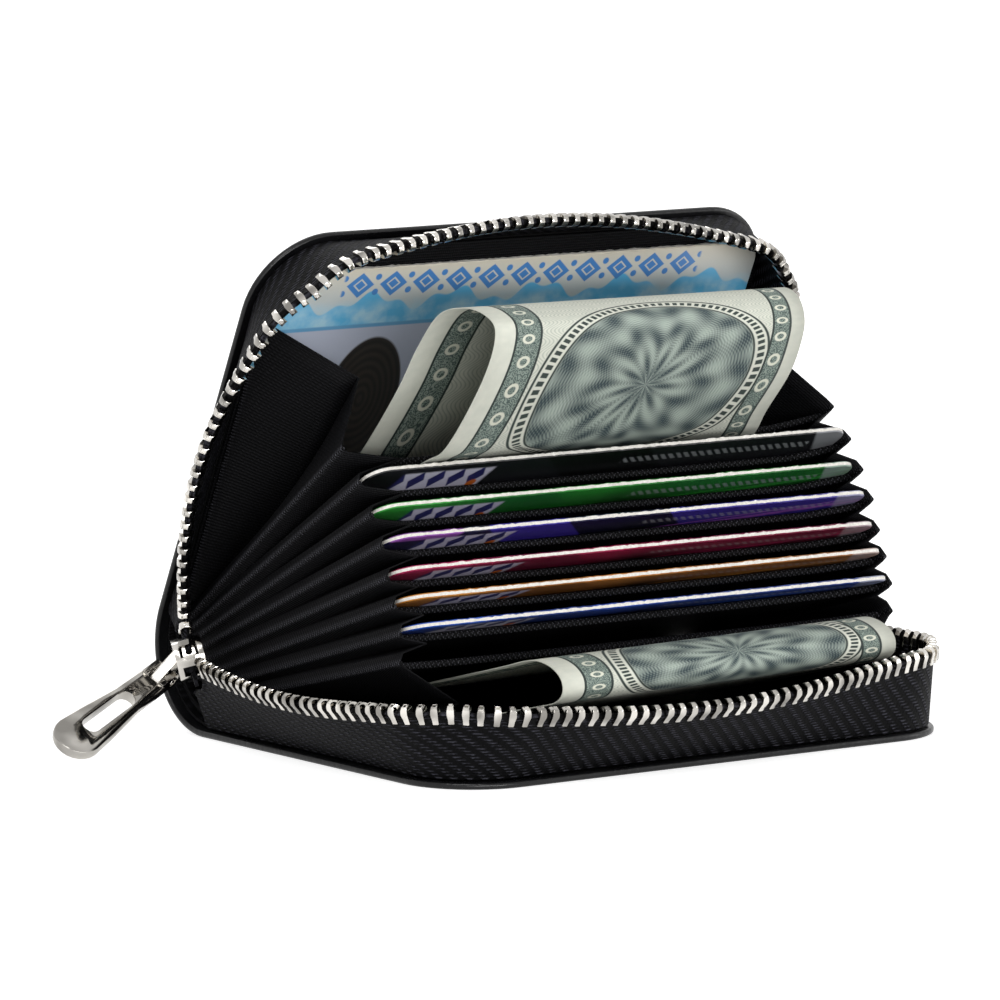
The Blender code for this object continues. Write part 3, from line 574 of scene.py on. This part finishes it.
def base_path(distance, left):
    """A point and outward normal on the tape's foot, by distance from the left hinge end."""
    if distance > base_length / 2:
        return base_path(base_length - distance, -left)
    reach = wallet_length / 2
    if distance < side_run:
        point, normal = Vector((reach - tape_inset, -distance, 0)), Vector((1, 0, 0))
    elif distance < side_run + corner_arc:
        turn = (distance - side_run) / corner_bend
        normal = Vector((math.cos(turn), -math.sin(turn), 0))
        point = Vector((reach - cover_corner, -side_run, 0)) + normal * corner_bend
    else:
        normal = Vector((0, -1, 0))
        point = Vector((reach - cover_corner - (distance - side_run - corner_arc), tape_inset - cover_depth, 0))
    point.x *= left
    normal.x *= left
    return point, normal


def lean_at(distance, leans):
    bend_middle = side_run + corner_arc / 2
    knots = (0, bend_middle, base_length - bend_middle, base_length)
    span = 0 if distance <= knots[1] else 1 if distance <= knots[2] else 2
    share = (distance - knots[span]) / (knots[span + 1] - knots[span])
    start, middle, end = leans[2 * span: 2 * span + 3]
    return start + (end - start) * share + (middle - (start + end) / 2) * math.sin(math.pi * share)


def wall_frame(distance, half):
    """Foot of the standing tape, its rising direction and its outward normal."""
    point, normal = base_path(distance, half.left)
    lean = lean_at(distance, half.leans)
    foot = point + Vector((0, 0, tape_foot - hinge.z))
    rise = normal * math.sin(lean) + Vector((0, 0, math.cos(lean)))
    return foot, rise, normal * math.cos(lean) - Vector((0, 0, math.sin(lean)))


def chain_rise(distance, half):
    foot, rise, _ = wall_frame(distance, half)
    spare = -foot.y * math.sin(unzipped_angle / 2) - seat_gap / 2
    return min(tape_width, (spare - foot.z) / rise.z - tip_rise)


def chain_point(distance, half):
    foot, rise, _ = wall_frame(distance, half)
    return foot + rise * chain_rise(distance, half)


def chain_frame(distance, half):
    """A matrix on the chain: X runs along it, Y is outward and Z rises to the teeth's tips."""
    _, rise, _ = wall_frame(distance, half)
    ahead = tooth_pitch / 4
    run = (chain_point(distance + ahead, half) - chain_point(distance - ahead, half)).normalized()
    rise = (rise - run * rise.dot(run)).normalized()
    return half.turn @ Matrix.Translation(chain_point(distance, half)) @ axes(run, run.cross(rise), rise)


def tooth_stations(half):
    """The distances along the foot at which teeth stand one pitch apart on the chain."""
    steps = 1200
    distances = [base_length * k / steps for k in range(steps + 1)]
    points = [chain_point(d, half) for d in distances]
    start = near_clear + tooth_pitch / 2
    end = base_length - far_clear - end_stop - tooth_pitch
    found = []
    travelled = wanted = 0.0
    for k in range(1, steps + 1):
        if distances[k] < start or distances[k] > end:
            continue
        travelled += (points[k] - points[k - 1]).length
        if travelled >= wanted:
            found.append(distances[k])
            wanted += tooth_pitch
    return found


def tape_top(distance, half):
    """How far the tape stands, less where it is cut round the slider or the far stop."""
    foot, rise, _ = wall_frame(distance, half)
    full = chain_rise(distance, half) + 0.2 * MM
    clear = near_clear if distance < base_length / 2 else far_clear
    if abs(foot.y) >= clear:
        return full
    return min(full, (-foot.z - math.sqrt(clear ** 2 - foot.y ** 2)) / rise.z)


def zip_tape(half, material):
    """The standing tape with the corded bead that the teeth grip, as one closed strip."""
    skin = tape_thickness / 2
    arch = [math.radians(-20 + 220 * k / 8) for k in range(9)]

    def section(u, v):
        top = tape_top(u * base_length, half)
        flat = [-tape_root, top * 0.3, top * 0.65, top - 1.3 * MM]
        loop = [(h, -skin) for h in flat]
        loop += [(top - bead_radius + bead_radius * math.sin(a), -bead_radius * math.cos(a)) for a in arch]
        loop += [(h, skin) for h in reversed(flat)]
        return loop[round(v * len(loop)) % len(loop)]

    def place(u, v):
        foot, rise, outward = wall_frame(u * base_length, half)
        h, o = section(u, v)
        return half.turn @ (foot + rise * h + outward * o)

    bm = mapped_grid(300, 17, place, lambda u, v: (u * base_length, section(u, v)[0]), tube=True)
    piece(half.side + "_zip_tape_cloth", bm, material, half.body, [half.side + "_zip_tape"], smooth=50)


def tooth_mesh():
    """One tooth: straight flat legs that clamp the bead, and a wider head with a dimpled dome."""
    bm = bmesh.new()
    block(bm, (-0.5 * MM, -0.5 * MM, -leg_length), (0.5 * MM, 0.5 * MM, tip_rise))
    bmesh.ops.subdivide_edges(bm, edges=upright_edges(bm), cuts=4, use_grid_fill=True)
    levels = sorted({round(v.co.z, 7) for v in bm.verts})
    # In millimetres, at each level from the legs' feet up: height, and half width along and across the chain.
    profile = ((-1.3, 0.42, 0.96), (-0.5, 0.42, 0.96), (0.4, 0.42, 0.96), (0.6, 0.61, 0.94),
               (1.02, 0.58, 0.72), (1.38, 0.36, 0.42))
    for vert in bm.verts:
        height, along, across = profile[levels.index(round(vert.co.z, 7))]
        vert.co = Vector((math.copysign(along * MM, vert.co.x), math.copysign(across * MM, vert.co.y), height * MM))
    round_edges(bm, turned_edges(bm, 50), 0.1 * MM, 1)
    crown = [f for f in bm.faces if f.normal.z > 0.98 and f.calc_center_median().z > tip_rise * 0.9]
    bmesh.ops.inset_individual(bm, faces=crown, thickness=0.06 * MM, depth=-0.07 * MM)
    return mesh_of("tooth", bm)


def teeth_at(places, tooth):
    """One tooth at each of the places, which are matrices."""
    bm = bmesh.new()
    for place in places:
        before = len(bm.verts)
        bm.from_mesh(tooth)
        bm.verts.ensure_lookup_table()
        bmesh.ops.transform(bm, matrix=place, verts=bm.verts[before:])
    return bm


def zip_teeth(half, tooth, material):
    bm = teeth_at([chain_frame(distance, half) for distance in tooth_stations(half)], tooth)
    piece(half.side + "_metal_teeth", bm, material, half.body, [half.side + "_zip_teeth"], smooth=28)


def zip_lead(half, tooth, metal, tape):
    """The last of the upper chain, which bends down into the slider's throat."""
    throat = slider_place @ Vector((0, -3.2 * MM, 1.3 * MM))
    outward = slider_place.to_3x3() @ Vector((0, -1, 0))
    tips_down = slider_place.to_3x3() @ Vector((0, 0, -1))
    last = chain_frame(near_clear + tooth_pitch / 2, half)
    ahead, tips = last.to_3x3().col[0], last.to_3x3().col[2]
    gap = (last.translation - throat).length
    bend = (throat, throat + outward * gap * 0.3, last.translation - ahead * gap * 0.3, last.translation)

    def along(t):
        return sum((p * k for p, k in zip(bend, ((1 - t) ** 3, 3 * t * (1 - t) ** 2, 3 * t * t * (1 - t), t ** 3))),
                   Vector())

    def facing(t):
        """The chain's direction and the teeth's."""
        run = (along(min(1.0, t + 0.01)) - along(max(0.0, t - 0.01))).normalized()
        rise = tips_down.lerp(tips, t)
        return run, (rise - run * rise.dot(run)).normalized()

    def tooth_place(t):
        run, rise = facing(t)
        return Matrix.Translation(along(t)) @ axes(run, run.cross(rise), rise)

    def cord(u, v):
        run, rise = facing(u)
        return along(u) + round_about(run.cross(rise), rise, v) * lead_cord_radius

    count = max(1, round(gap / tooth_pitch))
    teeth = piece("zip_lead_teeth", teeth_at([tooth_place(k / count) for k in range(count)], tooth), metal,
                  smooth=28)
    bm = mapped_grid(10, 10, cord, lambda u, v: (u * gap, v * math.pi * MM), tube=True)
    bead = piece("zip_lead_cord", bm, tape, smooth=60)
    for obj in (teeth, bead):
        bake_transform(obj)


def cover(half, material):
    """The cover's leather with its turned edge rounded over."""
    bm = bmesh.new()
    reach = wallet_length / 2
    block(bm, (-reach, -cover_depth, -hinge.z), (reach, -seat_gap / 2, leather - hinge.z))
    round_edges(bm, [e for e in upright_edges(bm) if e.verts[0].co.y < -cover_depth / 2], cover_corner, 14)
    seam_y = -seat_gap / 2
    round_edges(bm, [e for e in turned_edges(bm, 60) if min(v.co.y for v in e.verts) < seam_y - 0.01 * MM],
                hide_round, 4)
    bmesh.ops.transform(bm, matrix=half.turn, verts=bm.verts)
    piece(half.side + "_cover_hide", bm, material, half.body, [half.side + "_cover_leather"], smooth=40)


def edge_stitches(half, material):
    """Thread along the cover's outside edge: a 2.3 mm stitch every 3 mm, half sunk in the hide."""
    bm = bmesh.new()
    stitch = Matrix.Diagonal((*stitch_size, 1))
    up = Vector((0, 0, 1))
    count = round(base_length / stitch_pitch)
    for k in range(count):
        point, normal = base_path(base_length * (k + 0.5) / count, half.left)
        place = Matrix.Translation(point - normal * stitch_inset - up * hinge.z) @ axes(normal.cross(up), normal, up)
        made = bmesh.ops.create_icosphere(bm, subdivisions=1, radius=0.5)["verts"]
        bmesh.ops.transform(bm, matrix=half.turn @ place @ stitch, verts=made)
    piece(half.side + "_edge_stitches", bm, material, half.body, smooth=80)


def spine_hide(material):
    """The leather that curves round the spine between the covers."""
    seam = (seat_gap / 2 - 0.02 * MM) / hinge.z
    start, end = -math.pi / 2 - seam, math.pi / 2 - open_angle + seam
    inner = hinge.z - leather
    bm = bmesh.new()
    reach = wallet_length / 2
    block(bm, (-reach, start, inner), (reach, end, hinge.z))
    bmesh.ops.subdivide_edges(bm, edges=[e for e in bm.edges if abs(e.verts[0].co.y - e.verts[1].co.y) > 1],
                              cuts=40, use_grid_fill=True)
    for vert in bm.verts:
        angle, radius = vert.co.y, vert.co.z
        vert.co.y, vert.co.z = hinge.y + radius * math.cos(angle), hinge.z + radius * math.sin(angle)
    bmesh.ops.recalc_face_normals(bm, faces=bm.faces)
    # The edges round its two ends: both their points are at one place along the spine and one radius.
    ends = [e for e in turned_edges(bm, 60) if abs(e.verts[0].co.x - e.verts[1].co.x) < 0.01 * MM]
    round_edges(bm, [e for e in ends if abs((e.verts[0].co.yz - hinge.yz).length
                                            - (e.verts[1].co.yz - hinge.yz).length) < 0.01 * MM], hide_round, 4)
    obj = piece("spine_hide", bm, material, None, ["spine_leather"], smooth=40)
    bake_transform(obj)


# --- the accordion ---------------------------------------------------------

def pivot_of(index):
    """The line at the spine that a divider turns about."""
    height = lowest_pivot + (len(divider_angles) - 1 - index) * pivot_pitch
    return Vector((0, hinge.y + math.sqrt(pivot_radius ** 2 - (height - hinge.z) ** 2), height))


class Leaf:
    """A line from the spine to the mouth that a pleat is sewn along, and where it turns as the covers shut."""
    def __init__(self, origin, angle, length, body, shut_angle, pivot=None):
        self.origin, self.angle, self.length, self.body, self.shut_angle = origin, angle, length, body, shut_angle
        self.pivot = origin if pivot is None else pivot
        self.run = Vector((0, -math.cos(angle), math.sin(angle)))
        self.up = Vector((0, math.sin(angle), math.cos(angle)))

    def at(self, share):
        return self.origin + self.run * (gusset_start + (self.length - gusset_start) * share)

    def shut_at(self, share):
        return self.pivot + Matrix.Rotation(self.angle - self.shut_angle, 3, "X") @ (self.at(share) - self.pivot)


def accordion_leaves():
    """The upper cover, the eight dividers and the lower cover."""
    leaves = [Leaf(hinge + across_upper * (hinge.z - lining_top), open_angle, cover_leaf_share * card_height,
                   "upper_half", unzipped_angle, hinge)]
    for index, angle in enumerate(divider_angles):
        leaves.append(Leaf(pivot_of(index), angle, divider_shares[index] * card_height,
                           "divider_%d" % (index + 1), divider_shut_angles[index]))
    last = Vector((0, leaves[-1].origin.y, lining_top))
    return leaves + [Leaf(last, 0, lower_leaf_share * card_height, "lower_half", 0)]


def pleat_points(upper, lower, share, depth):
    """Across one pleat, as (x, point): ridge, shoulder, inward fold, shoulder, ridge."""
    first = upper.body == "upper_half"
    a, b = upper.at(share), lower.at(share)
    gap = (a - b).length
    down = over_card if first else under_card
    squeeze = min(1.0, gap * 0.85 / (down + over_card))
    high = a - upper.up * down * squeeze
    low = b + lower.up * over_card * squeeze
    inward = depth * max(0.0, min(1.0, (gap - down - over_card) / (gusset_depths["left"] / 2)))
    top = a - upper.up * (gusset_binding if first else 0)
    fold = gusset_shoulder - inward
    return [(gusset_ridge, top), (gusset_shoulder, high), (fold, (high + low) / 2), (gusset_shoulder, low),
            (gusset_ridge, b)]


def half_pleat(name, upper, lower, side, lower_part, material):
    """From one divider's edge to the fold."""
    corner, near_mouth = 0.25, 0.85
    own = lower if lower_part else upper
    sign = -1 if side == "left" else 1

    def place(u, v):
        points = pleat_points(upper, lower, v, gusset_depths[side])
        ridge, shoulder, fold = points[:1:-1] if lower_part else points[:3]
        if u <= corner:
            start, end, share = ridge, shoulder, u / corner
        else:
            start, end, share = shoulder, fold, (u - corner) / (1 - corner)
        point = start[1].lerp(end[1], share)
        sag = pleat_sag * math.sin(math.pi * share) * math.sin(math.pi * v) if u > corner else 0
        return Vector((sign * (start[0] + (end[0] - start[0]) * share), point.y, point.z)) + own.up * (
            sag if lower_part else -sag)

    bm = mapped_grid(8, 16, place, lambda u, v: (u * 8 * MM, v * (own.length - gusset_start)))
    obj = piece(name, bm, material, own.body, [side + "_gusset"], smooth=30)
    sheet_modifier(obj, gusset_cloth)
    open_gap = (upper.at(near_mouth) - lower.at(near_mouth)).length
    shut_gap = (upper.shut_at(near_mouth) - lower.shut_at(near_mouth)).length
    over = card_lift + card_thickness + 0.14 * MM if lower_part and own.body != "lower_half" else -0.1 * MM
    tuple(own.up)
    tuple(own.at(0.5) + own.up * over)
    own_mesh(obj)


def rolled_edge(name, centre_at, body, material, length):
    """A fine ribbed roll of cloth along a divider's edge."""
    def place(u, v):
        centre, side, up = centre_at(u)
        return centre + round_about(side, up, v) * roll_radius

    bm = mapped_grid(32, 8, place, lambda u, v: (v * math.tau * roll_radius, u * length), tube=True)
    return piece(name, bm, material, body, smooth=60)


def mouth_reach(x, leaf):
    """How far a divider reaches at one width: its mouth is cut back between its two shoulders."""
    back_half = divider_width / 2 - divider_bead
    share = (abs(x) - (back_half - mouth_shoulder)) / (2 * mouth_shoulder)
    return leaf.length - mouth_recess * (1 - max(0.0, min(1.0, share)))


def divider_cloth_piece(index, leaf, cloth, braid):
    """A divider's cloth, which hangs a little between its sides, and the cord that binds its mouth."""
    def sag(x, share):
        return -cloth_sag * math.cos(math.pi * x / divider_width) * share

    def place(u, v):
        x = (u - 0.5) * divider_width
        reach = mouth_reach(x, leaf) * v
        return Vector((x, 0, 0)) + leaf.origin + leaf.run * reach + leaf.up * sag(x, v)

    node = "divider_%d" % (index + 1)
    bm = mapped_grid(48, 16, place, lambda u, v: (u * divider_width, v * leaf.length))
    cloth_piece = piece(node + "_cloth", bm, cloth, leaf.body, [node], smooth=60)
    sheet_modifier(cloth_piece, divider_cloth)

    def mouth(u):
        x = (u - 0.5) * (divider_width - 0.3 * MM)
        centre = Vector((x, 0, 0)) + leaf.origin + leaf.run * mouth_reach(x, leaf) + leaf.up * (sag(x, 1) - 0.2 * MM)
        return centre, leaf.run, leaf.up * 1.5

    bound = rolled_edge(node + "_mouth_binding", mouth, leaf.body, braid, divider_width)
    strips = 96
    area = sum(mouth_reach(((k + 0.5) / strips - 0.5) * divider_width, leaf) for k in range(strips))


def side_roll(index, leaf, side, material):
    """The cord along a divider's side, outside the pleats that are sewn to it."""
    sign = -1 if side == "left" else 1
    reach = Vector((sign * (divider_width / 2 + 0.36 * MM), 0, 0))
    rolled_edge("divider_%d_%s_roll" % (index + 1, side),
                lambda u: (leaf.at(u) + reach, Vector((1, 0, 0)), leaf.up), leaf.body, material, leaf.length)


# --- cards and notes -------------------------------------------------------

def pvc_card(name, material, body, place, replaced):
    """A card with its corners rounded and a slightly ragged mouth edge; its UV is millimetres from its middle."""
    bm = bmesh.new()
    corner = Vector((card_width, card_height, card_thickness)) / 2
    block(bm, -corner, corner)
    round_edges(bm, upright_edges(bm), card_corner, 8)
    round_edges(bm, turned_edges(bm, 60), 0.16 * MM, 1)
    front = [e for e in bm.edges if max(v.co.y for v in e.verts) < -corner.y * 0.99
             and abs(e.verts[0].co.x - e.verts[1].co.x) > corner.x]
    bmesh.ops.subdivide_edges(bm, edges=front, cuts=150, use_grid_fill=True)
    layer = bm.loops.layers.uv.new("print")
    cut = bm.faces.layers.float.new("cut_edge")
    for face in bm.faces:
        face[cut] = 0.0 if abs(face.normal.z) > 0.5 else 1.0
        for loop in face.loops:
            loop[layer].uv = (loop.vert.co.x / MM, loop.vert.co.y / MM)
    for vert in bm.verts:
        if vert.co.y < -corner.y * 0.99 and abs(vert.co.x) < corner.x * 0.9:
            spot = Vector((vert.co.x / (0.45 * MM), len(name), vert.co.z / card_thickness))
            vert.co.y += noise.noise(spot) * 0.14 * MM
            vert.co.z += noise.noise(spot * 1.7) * (0.14 * MM if vert.co.z > 0 else 0.05 * MM)
    bmesh.ops.transform(bm, matrix=place, verts=bm.verts)
    piece(name, bm, material, body, [replaced], smooth=30)


def smooth_points(points, steps):
    """Points on a smooth curve through the given ones."""
    found = []
    last = len(points) - 1
    for k in range(last):
        before, a = Vector(points[max(k - 1, 0)]), Vector(points[k])
        b, after = Vector(points[k + 1]), Vector(points[min(k + 2, last)])
        for step in range(steps):
            t = step / steps
            found.append(0.5 * (2 * a + (b - before) * t + (2 * before - 5 * a + 4 * b - after) * t ** 2
                                + (3 * a - before - 3 * b + after) * t ** 3))
    found.append(Vector(points[-1]))
    return found


def note(name, left_shares, right_shares, lift, offset, place, body, material):
    """One bent note: the curves at its two ends, joined by a finely divided sheet."""
    ends = []
    runs = []
    for side, shares in ((-1, left_shares), (1, right_shares)):
        flat = [(r * card_height, lift + b * card_height) for r, b in shares]
        ends.append([Vector((offset + side * note_width / 2, -p[0], p[1])) for p in smooth_points(flat, 6)])
        runs.append(sum((b - a).length for a, b in zip(ends[-1], ends[-1][1:])))
    rows = len(ends[0]) - 1
    bm = mapped_grid(12, rows, lambda u, v: place @ ends[0][round(v * rows)].lerp(ends[1][round(v * rows)], u),
                     lambda u, v: (u * note_width, v * runs[0]))
    obj = piece(name, bm, material, body, [body], smooth=60)
    sheet_modifier(obj, note_paper)
    return obj


# --- the stage -------------------------------------------------------------

def add_camera():
    """A long lens at the photograph's place: low, and round to the slider's end."""
    data = bpy.data.cameras.new("camera")
    data.lens = camera_lens
    data.sensor_width = 36.0
    data.clip_end = 20.0
    camera = in_scene("camera", data)
    camera.location = camera_place
    camera.rotation_euler = [math.radians(a) for a in camera_turn]
    bpy.context.scene.camera = camera


def add_softbox(name, energy, location, size):
    data = bpy.data.lights.new(name, "AREA")
    data.energy = energy
    data.shape = "RECTANGLE"
    data.size, data.size_y = size
    lamp = in_scene(name, data)
    lamp.location = location
    lamp.rotation_euler = (Vector(light_target) - Vector(location)).to_track_quat("-Z", "Y").to_euler()


def direct_rays(tree):
    """1 on rays from the camera and on mirrored or refracted ones."""
    seen, mirrored, refracted = add(
        tree, "LightPath", output=("Is Camera Ray", "Is Glossy Ray", "Is Transmission Ray"))
    return seen | mirrored | refracted


def add_world():
    """A white backdrop that lights the wallet at 0.42 of the brightness it shows."""
    world = bpy.data.worlds.new("studio")
    bpy.context.scene.world = world
    world.use_nodes = True
    tree = world.node_tree
    fill(tree.nodes["Background"].inputs, Color="#ffffff",
         Strength=direct_rays(tree).into("MapRange", 0, 1, 0.42, 1.0))


def add_floor():
    """A pale sweep that shows white and keeps the wallet's shadow."""
    mat, tree = new_material("pale_studio_floor", "#dedede", 0.6)
    shade(mat, Emission_Color="#ffffff", Emission_Strength=direct_rays(tree) * 0.72)
    bm = bmesh.new()
    bmesh.ops.create_grid(bm, x_segments=1, y_segments=1, size=4.0)
    floor = in_scene("floor", mesh_of("floor", bm))
    floor.data.materials.append(mat)
    floor.location.z = -0.02 * MM


# --- putting it together ---------------------------------------------------

def dress_halves(hide, thread, tape, nickel, chain_metal):
    tooth = tooth_mesh()
    lower = Half("lower", -1, lower_flare, Matrix.Translation(hinge))
    upper = Half("upper", 1, upper_flare, hung(hinge, open_angle) @ Matrix.Rotation(math.pi, 4, "Y"))
    for half in (lower, upper):
        cover(half, hide)
        edge_stitches(half, thread)
        zip_tape(half, tape)
        zip_teeth(half, tooth, chain_metal)
        rounded_copy(half.side + "_far_stop", half.side + "_zip_end_stop", half.body, nickel, *small_break)
    zip_lead(upper, tooth, chain_metal, tape)
    spine_hide(hide)
    rounded_copy("zip_slider", "slider_body", "lower_half", nickel, *large_break)
    rounded_copy("chain_bottom_clamp", "zip_bottom_stop", "lower_half", nickel, *small_break)
    # Painted reflection: the pull is a darker copy of the polished nickel, standing in for the grey surroundings it
    # reflects.
    painted_dark_nickel = polished_nickel("nickel_pull_painted_dark", "#b9b6b0", 0.1)
    rounded_copy("drop_pull", "pull_tab", "pull", painted_dark_nickel, *large_break)
    rounded_copy("pull_cross_bar", "pull_bar", "pull", nickel, *small_break)


def dress_accordion(pleat_cloth, edge_cloth, braid):
    leaves = accordion_leaves()
    for index, leaf in enumerate(leaves[1:-1]):
        divider_cloth_piece(index, leaf, edge_cloth, braid)
    for side in ("left", "right"):
        for k in range(len(leaves) - 1):
            for part in ("top", "bottom"):
                half_pleat("%s_pleat_%d_%s" % (side, k + 1, part), leaves[k], leaves[k + 1], side, part == "bottom",
                           pleat_cloth)
        for index, leaf in enumerate(leaves[1:-1]):
            side_roll(index, leaf, side, braid)


def dress_cards():
    for index, (colour, (inset, ground, deep, bright)) in enumerate(CARDS.items()):
        place = hung(pivot_of(index + 1), divider_angles[index + 1]) @ Matrix.Translation(
            (0, -(inset + 0.5) * card_height, card_lift + card_thickness / 2))
        node = "card_" + colour
        pvc_card("pvc_" + node, printed_card(colour, ground, deep, bright), node, place, node)
    under = hinge.z - lining_top - card_clearance - card_thickness / 2
    place = hung(hinge, open_angle) @ Matrix.Translation((0, -pocket_inset - card_height / 2, under))
    pvc_card("pvc_id_card", printed_id_card(), "upper_half", place, "id_card")


def dress_notes(paper):
    angle = divider_angles[0]
    place = hung(pivot_of(0), angle)
    upper = note("folded_note_upper", upper_note_left_shares, upper_note_right_shares, 0, upper_note_offset, place,
                 "banknote_upper", paper)
    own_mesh(upper)
    place = Matrix.Translation((0, pivot_of(len(divider_angles) - 1).y, lining_top))
    left, right = [[(r + lower_note_skew_share * s, b) for r, b in lower_note_shares] for s in (0.5, -0.5)]
    lower = note("folded_note_lower", left, right, seat_gap, lower_note_offset, place, "banknote_lower", paper)
    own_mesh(lower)


def main():
    hide = black_grain_leather()
    # Waxed thread: a little paler than the hide, with a soft sheen.
    thread, _ = new_material("black_bonded_thread", "#1b1b1d", 0.5, Sheen_Weight=0.3)
    nickel = polished_nickel("polished_nickel", "#d9d5cf", 0.13)
    tape = braided_zip_tape()
    board = black_board()
    lining = grosgrain("ribbed_lining_cloth", solid=True)
    recoloured = {"zip_chain_end": tape, "lower_cover_board": board, "upper_cover_board": board}
    for node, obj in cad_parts.items():
        if node in recoloured:
            obj.data.materials[0] = recoloured[node]
        elif node.endswith("lining") or node == "accordion_base":
            obj.data.materials[0] = lining
    dress_halves(hide, thread, tape, nickel, polished_nickel("tumbled_nickel_teeth", "#dedad3", 0.09))
    dress_accordion(grosgrain("ribbed_gusset_cloth", painted_fold_highlight=1.1), grosgrain("ribbed_divider_cloth"),
                    binding_braid())
    dress_cards()
    dress_notes(engraved_note())
    add_camera()
    add_world()
    add_floor()
    for softbox in SOFTBOXES:
        add_softbox(*softbox)
    bpy.context.scene.view_settings.view_transform = "Standard"


main()
